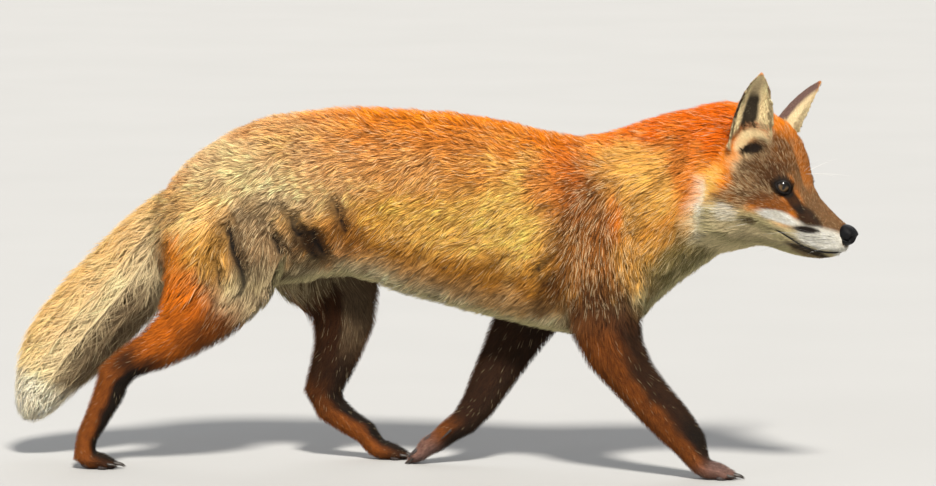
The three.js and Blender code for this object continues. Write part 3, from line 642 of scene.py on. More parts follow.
earForm = {  # where the pale front edge of the back starts, the dark of the hollow from rear edge to front
    "earRight": {"cream": 0.6, "hollow": (-0.66, 0.36), "lilac": 0.1},
    "earLeft": {"cream": 0.42, "hollow": (-0.2, 0.2), "lilac": 0.6},
}
fluff = np.zeros(count)
for name, form in earForm.items():
    s, root, way, opening, long = earFrame(name)
    mine = within(name)
    n = facing @ opening
    offset = headPlace - root
    h = (offset @ way) / long
    a = (offset @ np.cross(way, opening)) / 21 * -s  # -1 at the rear edge, 1 at the front edge
    behind = (("soot", "umber", 0.5), "lilac", form["lilac"])
    earBack = layered(tints["flame"], (behind, ease(0.1, 0.26, h)),
                      ("cream", 0.9 * ease(form["cream"] - 0.15, form["cream"] + 0.1, a)))
    low, high = form["hollow"]
    close = np.interp(h, [0.1, 0.75], [0, 0.7]) + 0.12 * wander  # the dark narrows towards the tip
    hollow = ease(low + 0.4 * close, low + 0.2 + 0.4 * close, a)
    hollow = hollow * ease(high + 0.2 - 0.4 * close, high - 0.4 * close, a) * ease(0.9, 0.6, h + 0.1 * wander)
    earIn = layered(tints["cream"], ("soot", np.clip(hollow, 0, 0.96)))
    if name == "earRight":
        earIn = layered(earIn, (behind, 0.9 * (ease(-0.8, -0.92, a) * ease(0.75, 0.5, h))))
    shift = -0.5 * ease(0.5, 0.3, h)
    ledge = ease(0.42, 0.3, h) * ease(-7, -3, offset @ opening)
    rimTint = 0.7 * ease(0.93, 1.0, h) + 0.6 * hill(n, 0, 0.25) * ease(0.5, 0.8, h)
    earTint = layered(blend(earBack, earIn, ease(shift - 0.2, shift + 0.2, n)[:, None]),
                      (("cream", "throat", 0.3), 0.95 * ledge), ("amber", np.clip(rimTint, 0, 0.85)))
    fluff[mine] = (ease(-0.1, 0.3, n) * ease(0.2, 0.7, abs(a)) * ease(0.9, 0.6, h))[mine]
    tint[mine] = earTint[mine]
    dark[mine], pale[mine] = 0.03, 0.02
hairLength = np.where(ears, blend(3.6, 7.5, fluff), hairLength)
depth = np.where(ears, blend(0.8, 2.0, fluff), depth)
tint = np.clip(tint * (1 + 0.07 * softNoise(points, 0.05, 8) + 0.05 * wander)[:, None], 0.004, 0.95)
print("markings laid")


# materials
class Wire:  # an output socket that can be used in arithmetic
    def __init__(self, paint, socket):
        self.paint, self.socket = paint, socket

    def worked(self, operation, other):
        return self.paint.node("ShaderNodeMath", {"operation": operation}, {0: self, 1: other})

    def __add__(self, other):
        return self.worked("ADD", other)

    def __mul__(self, other):
        return self.worked("MULTIPLY", other)

    def __pow__(self, other):
        return self.worked("POWER", other)


class Paint:  # a material and its nodes
    def __init__(self, name, roughness, gloss, **fixed):
        self.material = bpy.data.materials.new(name)
        self.material.use_nodes = True
        self.tree = self.material.node_tree
        self.shader = self.tree.nodes["Principled BSDF"]
        for socket, value in {"Roughness": roughness, "Specular IOR Level": gloss, **fixed}.items():
            self.shader.inputs[socket].default_value = value

    def node(self, kind, settings=None, values=None, out=0):
        made = self.tree.nodes.new(kind)
        for key, value in (settings or {}).items():
            if key == "stops":
                ramp = made.color_ramp
                while len(ramp.elements) < len(value):
                    ramp.elements.new(0.5)
                for element, (position, colour) in zip(ramp.elements, value):
                    element.position, element.color = position, (*colour, 1)
            else:
                setattr(made, key, value)
        for key, value in (values or {}).items():
            if isinstance(value, Wire):
                self.tree.links.new(value.socket, made.inputs[key])
            else:
                made.inputs[key].default_value = value
        return Wire(self, made.outputs[out])

    def mix(self, share, *colours):
        colours = [c if isinstance(c, Wire) else (*c, 1) for c in colours]
        return self.node("ShaderNodeMix", {"data_type": "RGBA"}, {0: share, 6: colours[0], 7: colours[1]}, 2)

    def feed(self, socket, value):
        self.tree.links.new(value.socket, self.shader.inputs[socket])

    def bump(self, height, distance, strength):
        values = {"Height": height, "Distance": distance, "Strength": strength}
        self.feed("Normal", self.node("ShaderNodeBump", {}, values))

    def attribute(self, name, out):
        return self.node("ShaderNodeAttribute", {"attribute_name": name}, {}, out)

    def objectPlace(self):
        return self.node("ShaderNodeTexCoord", {}, {}, "Object")

    def vector(self, operation, first, key, second):
        return self.node("ShaderNodeVectorMath", {"operation": operation}, {0: first, key: second})

    def noise(self, vector, scale, detail=2.0):
        return self.node("ShaderNodeTexNoise", {}, {"Vector": vector, "Scale": scale, "Detail": detail})


def furPaint(name, roughness, gloss, stretch, scale, detail, shade, distance, strength):
    paint = Paint(name, roughness, gloss)
    tintWire = paint.attribute("coatTint", "Color")
    where = paint.objectPlace()
    grain = paint.noise(paint.vector("MULTIPLY", where, 1, stretch) if stretch else where, scale, detail)
    paint.feed("Base Color", paint.mix(grain, paint.vector("SCALE", tintWire, "Scale", shade), tintWire))
    paint.bump(grain, distance, strength)
    return paint.material


def eyePaint():
    paint = Paint("wetEye", 0.3, 0.2, **{"Coat Weight": 0.5, "Coat Roughness": 0.03})
    apart = paint.node("ShaderNodeSeparateXYZ", {}, {0: paint.attribute("gaze", "Vector")}).socket.node
    u, v = (Wire(paint, apart.outputs[k]) for k in range(2))
    radius = (u * u + v * v) ** 0.5
    angle = paint.node("ShaderNodeMath", {"operation": "ARCTAN2"}, {0: v, 1: u})
    unrolled = paint.node("ShaderNodeCombineXYZ", {}, {0: angle * 5.0, 1: radius * 2.0})
    spokes = paint.node("ShaderNodeTexNoise", {"noise_dimensions": "2D"},
                        {"Vector": unrolled, "Scale": 2.6, "Detail": 3.0})
    ring = paint.node("ShaderNodeValToRGB", {"stops": [
        (0.0, (0.02, 0.010, 0.004)), (0.2, (0.06, 0.03, 0.009)), (0.42, (0.15, 0.082, 0.024)),
        (0.56, (0.085, 0.042, 0.012)), (0.64, (0.008, 0.005, 0.004)), (0.78, (0.004, 0.003, 0.002))]}, {0: radius})
    iris = paint.mix(spokes * 0.7, ring, (0.035, 0.022, 0.01))
    slit = (u * u) * 46.0 + (v * v) * 6.5
    pupil = paint.node("ShaderNodeMapRange", {"interpolation_type": "SMOOTHSTEP"},
                       {"Value": slit, "From Min": 0.8, "From Max": 1.15, "To Min": 1.0, "To Max": 0.0})
    # the iris darker towards its top: painted shadow of the upper lid and brow
    shaded = paint.mix((v + 0.08) * 3.4, iris, (0.008, 0.005, 0.003))
    paint.feed("Base Color", paint.mix(pupil, shaded, (0.002, 0.002, 0.002)))
    return paint.material


def barePaint(name, low, high, scale, distance, roughness, gloss=0.5):
    paint = Paint(name, roughness, gloss)
    where = paint.objectPlace()
    pebbles = paint.node("ShaderNodeTexVoronoi", {}, {"Vector": where, "Scale": scale}, "Distance")
    paint.feed("Base Color", paint.mix(paint.noise(where, scale * 0.15, 3.0), low, high))
    paint.bump(pebbles, distance, 0.6)
    return paint.material


looks = {
    "coat": furPaint("foxFur", 0.75, 0.1, None, 900.0, 1.0, 0.78, 0.0002, 0.4),
    "sleek": furPaint("shortFur", 0.7, 0.12, None, 900.0, 1.0, 0.78, 0.0002, 0.4),
    "skin": furPaint("skinAndUnderfur", 0.85, 0.2, (0.22, 1, 0.8), 1100.0, 3.0, 0.45, 0.0012, 0.7),
    "eye": eyePaint(),
}
bareLooks = {
    "nose": ("noseSkin", (0.0025, 0.0025, 0.003), (0.006, 0.0055, 0.006), 1500, 0.0003, 0.5, 0.14),
    "lips": ("lipSkin", (0.005, 0.004, 0.004), (0.015, 0.012, 0.011), 900, 0.0002, 0.5, 0.3),
    "lids": ("lidSkin", (0.003, 0.0025, 0.0025), (0.009, 0.007, 0.006), 900, 0.0001, 0.45, 0.3),
    "claw": ("clawHorn", (0.012, 0.009, 0.007), (0.04, 0.028, 0.02), 500, 0.00008, 0.45),
    "pads": ("padSkin", (0.02, 0.016, 0.016), (0.06, 0.045, 0.042), 800, 0.0004, 0.65),
    "whiskersDark": ("darkWhisker", (0.008, 0.006, 0.005), (0.03, 0.02, 0.015), 300, 0.00002, 0.35),
    "whiskersPale": ("paleWhisker", (0.6, 0.58, 0.54), (0.85, 0.84, 0.8), 300, 0.00002, 0.35),
}
looks.update({key: barePaint(*row) for key, row in bareLooks.items()})


def finished(name, mesh, look, replaced=()):
    piece = placed(name, mesh)
    mesh.materials.clear()
    mesh.materials.append(looks[look])
    mesh.polygons.foreach_set("use_smooth", np.ones(len(mesh.polygons), bool))
    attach(piece, "root")
    if replaced:
        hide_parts(*replaced)
    return piece


def meshOf(name, verts, faces):
    mesh = bpy.data.meshes.new(name)
    mesh.vertices.add(len(verts))
    setPoints(mesh, verts)
    mesh.loops.add(faces.size)
    mesh.loops.foreach_set("vertex_index", faces.astype(np.int32).ravel())
    mesh.polygons.add(len(faces))
    mesh.polygons.foreach_set("loop_start", np.arange(0, faces.size, faces.shape[1], dtype=np.int32))
    mesh.update(calc_edges=True)
    return mesh


# the coat, in tufts
furrows = [  # clefts where the fur parts, sunk and darkened with painted shade: x and z of their ends, half width, how much they sink
    ((-247, 262), (-240, 236), 4.5, 1), ((-240, 236), (-228, 204), 5, 1), ((-228, 204), (-233, 188), 4, 0.8),
    ((-262, 242), (-253, 200), 3.6, 0.95), ((-272, 222), (-260, 180), 3.2, 0.85),
    ((-284, 214), (-272, 184), 2.5, 0.6),
    ((-180, 268), (-170, 244), 4.6, 1), ((-170, 244), (-158, 226), 4, 0.9), ((-200, 250), (-192, 232), 3.6, 0.85),
    ((-160, 254), (-147, 228), 4, 0.95), ((-136, 288), (-124, 256), 4, 0.95), ((-196, 288), (-184, 272), 3, 0.7),
    ((78, 214), (90, 228), 3.5, 0.9), ((34, 222), (46, 230), 3, 0.6),
    ((84, 282), (94, 284), 3, 0.7), ((146, 158), (174, 184), 3.5, 0.85), ((160, 152), (182, 172), 3, 0.75),
    ((233, 352), (226, 322), 3.5, 0.5), ((226, 322), (190, 292), 4, 0.5), ((222, 356), (216, 334), 2.5, 0.4),
]


def cleftAt(where):  # how far the fur has parted at a place, 0 to 1
    p = stride(where)
    flatPlace = p * (1, 0, 1)
    parted = np.zeros(len(p))
    for a, b, wide, much in furrows:
        _, spot, _ = alongPath(flatPlace, np.array([(a[0], 0, a[1]), (b[0], 0, b[1])], float))
        parted = np.maximum(parted, much * hill(np.linalg.norm(flatPlace - spot, axis=1), 0, wide))
    return parted * (abs(p[:, 1]) > 25) * (p[:, 0] < 245)


sinking = cleftAt(points) * (1 - share[:, 0])
tree = BVHTree.FromPolygons(points.tolist(), triangles.tolist())
bareForm = {"rim": 0.7, "lips": 1.4, "nose": (-9.5, 0, -7), "noseHalf": (11.5, 11.6, 11.2)}
nearHead = toHead(points)
fromNose = (((nearHead - bareForm["nose"]) / bareForm["noseHalf"]) ** 2).sum(1)
bare = inMouth & (gapTo < bareForm["lips"]) | isHead & (fromNose < 1)  # no hair here, nor in the eyes' openings
for s in sideWords:
    local, r, _, rim = aroundEye(nearHead, s)
    bare |= isHead & (r < rim + bareForm["rim"]) & (local[:, 2] > 0)

coatPieces = {  # the zone each piece covers, its number of bent locks and of straight hairs, and its finish
    "coatFace": {"zone": "face", "locks": 0, "hairs": 43000, "slot": "red_coat"},
    "coatCheeks": {"zone": "cheeks", "locks": 13000, "hairs": 24000, "slot": "red_coat"},
    "coatEars": {"zone": "ears", "locks": 0, "hairs": 18000, "slot": "dark_coat"},
    "coatNeck": {"zone": "neck", "locks": 14000, "hairs": 23000, "slot": "red_coat"},
    "coatShoulders": {"zone": "shoulders", "locks": 14000, "hairs": 23000, "slot": "red_coat"},
    "coatFlanks": {"zone": "flanks", "locks": 13000, "hairs": 24000, "slot": "red_coat"},
    "coatHaunches": {"zone": "haunches", "locks": 15000, "hairs": 23000, "slot": "sandy_coat"},
    "coatTail": {"zone": "tail", "locks": 13000, "hairs": 12000, "slot": "sandy_coat"},
    "coatForelegs": {"zone": "forelegs", "locks": 0, "hairs": 30000, "slot": "dark_coat"},
    "coatHindlegs": {"zone": "hindlegs", "locks": 0, "hairs": 30000, "slot": "dark_coat"},
}
tuftForm = {
    "width": ([3, 8, 16, 32, 60], [0.38, 0.50, 0.62, 0.78, 1.05]),  # millimetres across for each length
    "bend": 0.42,  # where along its length a lock is widest
    "bentFrom": 9,  # millimetres of length from which a tuft follows the skin
    "turn": 0.13, "lengths": (0.7, 0.45), "heights": (0.86, 0.26), "widths": (0.7, 0.6),  # least, and spread
    "clump": 0.09,  # share of the tufts that others lean towards
    "gather": {"neck": 0.4, "tail": 0.35, "hindlegs": 0.3, "forelegs": 0.3, "cheeks": 0.45, "shoulders": 0.45,
               "flanks": 0.5},
    "stand": {"tail": 1.2, "hindlegs": 1.2, "forelegs": 1.15, "haunches": 1.08, "neck": 1.04},  # against the depth
    "softShade": 0.6,  # how far the light sees the body's form rather than each tuft
    "rootSunk": 0.0008, "floorGap": 0.0004,
}
# a tuft's corners: three round its middle, its tip, and a lock's root; their places on the unrolled coat; faces
lockForm = {"patch": [(-0.0014, -0.0003), (0.0014, -0.0003), (0, 0.0001), (0, 0.0015), (0, -0.0015)],
            "faces": [(1, 0, 3), (0, 2, 3), (2, 1, 3), (0, 1, 4), (2, 0, 4), (1, 2, 4)]}
hairForm = {"patch": [(-0.0014, -0.0014), (0.0014, -0.0014), (0, -0.0008), (0, 0.0015)],
            "faces": [(0, 1, 2), (1, 0, 3), (0, 2, 3), (2, 1, 3)]}

firstCorner = triangles[:, 0]
corner = [points[triangles[:, k]] for k in range(3)]
triArea = np.linalg.norm(np.cross(corner[1] - corner[0], corner[2] - corner[0]), axis=1) / 2
zoneOf = {"earRight": "ears", "earLeft": "ears", "neck": "neck", "chest": "shoulders", "belly": "flanks",
          "rump": "haunches", "tail": "tail"}
named = np.array(list(parts))[label[firstCorner]]
zone = np.empty(len(triangles), object)
zone[:] = [zoneOf.get(name, "") for name in named.tolist()]
ahead = toHead((corner[0] + corner[1] + corner[2]) / 3)[:, 0]
zone[named == "head"] = np.where(ahead[named == "head"] > -106, "face", "cheeks")
for half, upper, lower in (("fore", "shoulders", "forelegs"), ("hind", "haunches", "hindlegs")):
    for word in sideWords.values():
        mine = named == half + word
        zone[mine] = np.where(alongLeg[firstCorner][mine] < 0.36, upper, lower)


def turnShare(a, b):  # an angle about an axis, as a share of the whole turn
    return np.arctan2(a, b) / (2 * math.pi) + 0.5


def chart(zoneName, where, normal, part):  # a place on the skin, unrolled to a flat square
    p, h = stride(where), toHead(where)
    columns, column = 1, 0 * part
    u, v = np.zeros(len(where)), np.zeros(len(where))
    if zoneName in ("face", "cheeks"):
        u, v = turnShare(h[:, 1], h[:, 2] + 5), h[:, 0]
    elif zoneName == "ears":
        columns = 4
        for k, name in enumerate(earLines):
            _, root, way, opening, _ = earFrame(name)
            mine = part == partNumber[name]
            u[mine] = ((h[mine] - root) @ np.cross(way, opening)) / 70 + 0.5
            v[mine] = (h[mine] - root) @ way
            column[mine] = 2 * k + ((normal[mine] @ headTurn) @ opening > 0)
    elif zoneName == "tail":
        v, near, _ = alongPath(where, tailPath)
        u = turnShare((where - near)[:, 1], (where - near) @ np.array([0.7, 0, 0.7]))
    elif zoneName in ("forelegs", "hindlegs"):
        columns, column = 2, (where[:, 1] > 0).astype(int)
        for name, path in legPaths.items():
            mine = part == partNumber[name]
            if mine.any():
                v[mine], near, way = alongPath(where[mine], path)
                offset = where[mine] - near
                u[mine] = turnShare(offset[:, 1], (offset * np.cross((0, 1, 0), way)).sum(1))
    else:
        middle = np.interp(p[:, 0], ridge["x"], (np.array(ridge["top"]) + ridge["bottom"]) / 2)
        u, v = turnShare(p[:, 1], p[:, 2] - middle), p[:, 0]
        column = np.isin(part, [partNumber[n] for n in legPaths]).astype(int) * (1 + (p[:, 1] > 0))
        columns = 3
    v = (v - v.min()) / max(np.ptp(v), 1e-9)
    return np.stack([(column + 0.03 + 0.94 * np.clip(u, 0, 1)) / columns, 0.02 + 0.95 * v], 1)


def grounded(places):  # the nearest places on the skin; the normal, the coat's lie and depth, and the point there
    found = [tree.find_nearest(p) for p in places.tolist()]
    under = firstCorner[[f[2] for f in found]]
    return np.array([f[0] for f in found]), unit(normals[under]), lie[under], depth[under] / 1000, under


def folds(where, how):  # lumps of the coat, from -1 to 1, with ripples across the loins
    p = stride(where)
    lump = 0.7 * softNoise(where, 0.011, 24) + 0.5 * softNoise(where, 0.006, 25)
    warp = 7 * softNoise(where, 0.022, 26) + 2.5 * softNoise(where, 0.009, 27)
    wave = np.sin(2 * math.pi * (p[:, 0] * 0.93 + p[:, 2] * 0.36 + warp) / 13)
    inside = np.sqrt(((p[:, 0] + 178) / 66) ** 2 + ((p[:, 2] - 290) / 48) ** 2)
    mask = ease(1.2, 0.6, inside) * (abs(p[:, 1]) > 20)
    return np.clip(how * 2.4, 0.2, 1) * lump + 0.75 * wave * mask


def sown(chosen, total):  # places for the roots, spread evenly over the chosen triangles
    short = hairLength[triangles[chosen]].mean(1)
    weight = triArea[chosen] * (12 / np.clip(short, 5, 30)) ** 0.7
    steps = (np.arange(total) + chance.random(total)) / total
    pick = chosen[np.minimum(np.searchsorted(np.cumsum(weight) / weight.sum(), steps), len(chosen) - 1)]
    chance.shuffle(pick)
    a, b = chance.random(total), chance.random(total)
    fold = a + b > 1
    return triangles[pick], np.where(fold, 1 - a, a), np.where(fold, 1 - b, b)


def varied(total, key):  # a random factor for each tuft
    least, more = tuftForm[key]
    return least + more * chance.random(total)


def shaded(colour, towards, share, chosen):
    return np.where(chosen[:, None], blend(colour, towards, share), colour)


def growCoat(name, plan):
    chosen = np.where((zone == plan["zone"]) & ~bare[triangles].any(1) & (sinking[triangles].mean(1) < 0.6))[0]
    total = plan["locks"] + plan["hairs"]
    tri, a, b = sown(chosen, total)

    def at(field):
        f = field.reshape(count, -1)
        return f[tri[:, 0]] * (1 - a - b)[:, None] + f[tri[:, 1]] * a[:, None] + f[tri[:, 2]] * b[:, None]

    root, normal, along, colour = at(points), unit(at(normals)), at(lie), at(tint)
    long, high, ticks, flecks, wild = (at(field)[:, 0] for field in (hairLength, depth, dark, pale, unrest))
    long, high = long / 1000, high / 1000
    lump = folds(root, wild)
    turn = wild * (1.1 * softNoise(root, 0.017, 21) + 0.9 * softNoise(root, 0.007, 22))
    turn += tuftForm["turn"] * chance.standard_normal(total)
    along = swung(flattened(along, normal), normal, turn)
    long = long * varied(total, "lengths") * (1 + 0.12 * softNoise(root, 0.02, 23))
    reach = np.sqrt(np.maximum(long ** 2 - np.minimum(high, 0.8 * long) ** 2, (0.3 * long) ** 2))
    parted = cleftAt(root) if plan["zone"] in ("haunches", "shoulders", "neck", "flanks") else np.zeros(total)
    cleft = parted
    if parted.any():
        for part in (0.4, 0.75, 1.05):
            cleft = np.maximum(cleft, cleftAt(root + along * (part * reach)[:, None]))
    reach = reach * (1 - 0.6 * cleft)
    middle = root + along * (tuftForm["bend"] * reach)[:, None]
    tip = root + along * reach[:, None]
    nMiddle, nTip, tipHigh = normal.copy(), normal.copy(), high.copy()
    far = np.where(long > tuftForm["bentFrom"] / 1000)[0]
    if len(far):
        spot, n, way, _, under = grounded(middle[far])
        colour[far], ticks[far], flecks[far] = tint[under], dark[under], pale[under]
        bentWay = unit(blend(along[far], swung(way, n, turn[far]), 0.6))
        middle[far], nMiddle[far] = spot, n
        spot, n, way, deep, _ = grounded(spot + bentWay * ((1 - tuftForm["bend"]) * reach[far])[:, None])
        tip[far], nTip[far] = spot, n
        tipHigh[far] = blend(high[far], deep, 0.75)
    stand = varied(total, "heights") * (1 + 0.26 * lump) * tuftForm["stand"].get(plan["zone"], 1)
    middle = middle + nMiddle * ((0.8 if plan["zone"] == "tail" else 0.64) * high * stand * (1 - parted))[:, None]
    tip = tip + nTip * (tipHigh * stand * (1 - cleft))[:, None]

    heads = np.where(chance.random(total) < tuftForm["clump"])[0]  # the tufts that others lean towards
    finder = KDTree(len(heads))
    for k, c in enumerate(heads):
        finder.insert(root[c], k)
    finder.balance()
    mine = heads[np.array([finder.find(p)[1] for p in root.tolist()])]
    apart = root - root[mine]
    pull = tuftForm["gather"].get(plan["zone"], 0.55) * hill(np.linalg.norm(apart, axis=1), 0, 0.4 * long)
    pull = np.clip(pull * (0.6 + 0.8 * chance.random(total))[mine], 0, 0.85)[:, None]
    tip = blend(tip, tip[mine] + 0.25 * apart, pull)
    middle = blend(middle, middle[mine] + 0.75 * apart, pull * 0.5)
    wide = np.interp(long * 1000, *tuftForm["width"]) / 1000 * varied(total, "widths")

    rough = 0.06 + 0.16 * wild
    shade = 1 + rough * chance.standard_normal(total)[mine] + rough * chance.standard_normal(total)
    # tone varied by the lumps: partly random mottling, partly painted light and shade on the lumps and ripples
    colour = colour * np.clip(shade * (1 + (0.04 + 0.5 * wild) * lump), 0.5, 1.5)[:, None]
    isDark = chance.random(total) < ticks * (0.5 + chance.random(total)[mine]) * (1 - 0.5 * lump)
    isPale = ~isDark & (chance.random(total) < flecks * (1 + 0.4 * lump))
    tipColour = shaded(shaded(colour * 1.1, tints["soot"], 0.8, isDark), tints["cream"] * 1.05, 0.65, isPale)
    middleColour = shaded(shaded(colour * 0.95, tints["umber"], 0.4, isDark), tints["cream"], 0.3, isPale)
    # roots darker: partly the grey underfur, partly painted shade between the tufts, the more so where the coat is
    # rougher
    rootColour = blend(colour, tints["grey"] * 0.5, 0.2) * (0.78 - 0.6 * wild)[:, None]
    # darker in the clefts, at the roots and along the tufts lying across them: painted shade
    rootColour = rootColour * (1 - 0.7 * parted)[:, None]
    middleColour = middleColour * (1 - 0.6 * cleft)[:, None]
    tipColour = tipColour * (1 - 0.6 * cleft)[:, None]

    uvRoot = chart(plan["zone"], root, normal, label[tri[:, 0]])
    isLock = np.zeros(total, bool)
    isLock[np.argsort(-long * (0.5 + chance.random(total)))[:plan["locks"]]] = True
    made = {"verts": [], "faces": [], "colours": [], "uvs": [], "shades": []}
    base = 0
    for lock in (True, False):
        who = np.where(isLock == lock)[0]
        if not len(who):
            continue
        form = lockForm if lock else hairForm
        foot = root[who] - normal[who] * tuftForm["rootSunk"]
        if lock:
            centre, up, ringColour = middle[who], nMiddle[who], middleColour[who]
        else:
            centre, up, ringColour = foot, normal[who], rootColour[who]
        wayOn = unit(tip[who] - foot)
        s = unit(np.cross(up, wayOn))
        n = np.cross(wayOn, s)
        half = (wide[who] / 2)[:, None]
        corners = [centre + s * half - n * half * 0.35, centre - s * half - n * half * 0.35,
                   centre + n * half * 0.75, tip[who]]
        soft = [unit(blend(way, up, tuftForm["softShade"])) for way in (unit(s - 0.4 * n), unit(-s - 0.4 * n), n)]
        soft.append(unit(blend(n, nTip[who], 0.7)))
        paint = [ringColour] * 3 + [tipColour[who]]
        if lock:
            corners.append(foot)
            soft.append(normal[who])
            paint.append(rootColour[who])
        each = len(corners)
        patch = (uvRoot[who][:, None] + np.array(form["patch"])[None]).reshape(-1, 2)
        faces = np.array(form["faces"])[None] + (base + each * np.arange(len(who)))[:, None, None]
        for key, rows in (("verts", np.stack(corners, 1)), ("faces", faces), ("colours", np.stack(paint, 1)),
                          ("shades", np.stack(soft, 1))):
            made[key].append(rows.reshape(-1, 3))
        made["uvs"].append(patch)
        base += each * len(who)
    made = {key: np.concatenate(rows) for key, rows in made.items()}
    made["verts"][:, 2] = np.maximum(made["verts"][:, 2], tuftForm["floorGap"])
    mesh = meshOf(name, made["verts"], made["faces"])
    setTint(mesh, np.clip(made["colours"], 0.002, 0.95))
    uvs = np.clip(made["uvs"], 0.0005, 0.9995)[made["faces"].ravel()]
    mesh.uv_layers.new(name="OFBake").data.foreach_set("uv", uvs.astype(np.float32).ravel())
    finished(name, mesh, "sleek" if plan["zone"] in ("face", "ears") else "coat")
    if plan["zone"] != "ears":
        mesh.normals_split_custom_set_from_vertices(made["shades"].astype(np.float32))
    print(name, len(mesh.polygons), "triangles")


strandShare = 1
for name, plan in coatPieces.items():
    growCoat(name, {**plan, "locks": int(plan["locks"] * strandShare), "hairs": int(plan["hairs"] * strandShare)})

# finishing the skin
underfurAndShade = {"shade": 0.84, "unrest": -0.5, "cleft": 0.97, "cleftGain": 1.4}
# the skin darker than the coat: partly the underfur's own colour, partly painted shade between the tufts; nearly
# black in the clefts, painted shadow
shade = (underfurAndShade["shade"] + underfurAndShade["unrest"] * unrest)[:, None]
setTint(joined, tint * shade * (1 - underfurAndShade["cleft"] * np.minimum(1, underfurAndShade["cleftGain"] * sinking))[:, None])
group = skin.vertex_groups.new(name="plain")
plain = np.where(~ears & (~isHead | (back < skinForm["faceFrom"])))[0]
group.add(plain.tolist(), 1.0, "REPLACE")
thin = skin.modifiers.new("fewer faces", "DECIMATE")
thin.vertex_group = "plain"
thin.ratio = skinForm["thinnedTo"]
thinned = evaluated(skin)
skin.modifiers.clear()
bpy.data.objects.remove(skin)
thinned.name = "skin"
finished("skin", thinned, "skin", flesh)
print("skin", len(thinned.polygons), "faces")


# eyes and lids
def swept(name, route, radii, depth, closed=False, sides=3):
    curve = bpy.data.curves.new(name, "CURVE")
    curve.dimensions = "3D"
    curve.bevel_depth = depth
    curve.bevel_resolution = sides
    curve.use_fill_caps = True
    line = curve.splines.new("NURBS")
    line.points.add(len(route) - 1)
    for point, spot, radius in zip(line.points, route, radii):
        point.co = (*spot, 1)
        point.radius = radius
    line.use_cyclic_u = closed
    line.use_endpoint_u = not closed
    line.order_u = line.resolution_u = 4
    holder = placed(name, curve)
    mesh = evaluated(holder)
    bpy.data.objects.remove(holder)
    return mesh


def joinedMesh(name, meshes):
    whole = bmesh.new()
    for mesh in meshes:
        whole.from_mesh(mesh)
    bmesh.ops.remove_doubles(whole, verts=whole.verts, dist=1e-7)
    bmesh.ops.recalc_face_normals(whole, faces=whole.faces)
    return meshFrom(whole, name)


lidLine = {"points": 40, "sunk": 0.45, "thick": 0.0008, "angles": [-180, -60, -33, 0, 90, 180],
           "radii": [0.9, 0.8, 1.3, 1.0, 1.3, 0.9]}
cornea = {"height": 0.07, "width": 0.55}
for s, word in sideWords.items():
    centre, axes = eyeFrame(s)
    ball = bmesh.new()
    bmesh.ops.create_uvsphere(ball, u_segments=64, v_segments=40, radius=1)
    mesh = meshFrom(ball, "eye" + word)
    local = pointsOf(mesh)
    bulge = 1 + cornea["height"] * hill(np.hypot(local[:, 0], local[:, 1]), 0, cornea["width"]) * (local[:, 2] > 0)
    layer = mesh.attributes.new("gaze", "FLOAT_VECTOR", "POINT")
    layer.data.foreach_set("vector", local.astype(np.float32).ravel())
    setPoints(mesh, fromHead((local * bulge[:, None] * eyes["radius"]) @ axes + centre))
    fixer = bmesh.new()
    fixer.from_mesh(mesh)
    bmesh.ops.recalc_face_normals(fixer, faces=fixer.faces)
    fixer.to_mesh(mesh)
    fixer.free()
    finished("eye" + word, mesh, "eye", ["eye_" + word.lower()])
    angles = np.linspace(-180, 180, lidLine["points"], endpoint=False)
    rim = np.interp(angles, eyes["rimAngle"], eyes["rim"])
    loop = np.stack([rim * np.cos(np.radians(angles)), rim * np.sin(np.radians(angles)),
                     lidDome(rim) - lidLine["sunk"]], 1)
    radii = np.interp(angles, lidLine["angles"], lidLine["radii"])
    mesh = swept("lids" + word, fromHead(loop @ axes + centre).tolist(), radii, lidLine["thick"], True)
    finished("lids" + word, joinedMesh("lids" + word, [mesh]), "lids")

# the nose
noseForm = {"middle": (-10.0, 0, -7.0), "half": (9.8, 11.2, 10.8), "squareness": 0.82,
            # middle sideways and up, half widths, how much it sinks
            "pit": (0.45, 0.0, 0.19, 0.24, 0.6), "slit": (0.76, -0.22, 0.26, 0.1, 0.22),
            "wing": (0.62, 0.36, 0.2, 0.2, -0.08), "groove": (0.055, 0.14)}
lump = bmesh.new()
bmesh.ops.create_icosphere(lump, subdivisions=6, radius=1)
mesh = meshFrom(lump, "noseSkin")
p = pointsOf(mesh)
f, s, u = p.T
shape = np.sign(p) * abs(p) ** noseForm["squareness"]
shape[:, 1] *= 1 + 0.18 * u - 0.12 * (u < -0.2) * (-u - 0.2)
shape[:, 2] *= 1 - 0.12 * f
shape[:, 0] *= 1 - 0.2 * ease(0.0, -1.0, u)
shape[:, 0] -= 0.1 * ease(0.5, 1.0, u)
for k in sideWords:
    for key, ahead in (("pit", 0), ("slit", -0.2), ("wing", 0)):
        across, high, wide, tall, deep = noseForm[key]
        dent = deep * np.exp(-(((s - k * across) / wide) ** 2 + ((u - high) / tall) ** 2)) * (f > ahead)
        shape[:, 0] -= dent
        if key == "slit":
            shape[:, 1] -= k * dent
groove, deep = noseForm["groove"]
shape[:, 0] -= deep * (hill(s, 0, groove) * ease(0.3, 0.0, u) * (f > 0))
setPoints(mesh, fromHead(shape * np.array(noseForm["half"]) + np.array(noseForm["middle"])))
finished("noseSkin", mesh, "nose", ["nose"])


# the lips
def onFace(b, sideSign, u):  # the place on the face's side at b and u in the head's frame
    start = fromHead([(b, sideSign * 90, u)])[0]
    hit = tree.ray_cast(Vector(start), Vector(unit(fromHead([(b, 0, u)])[0] - start)))
    return None if hit[0] is None else np.array(hit[0])


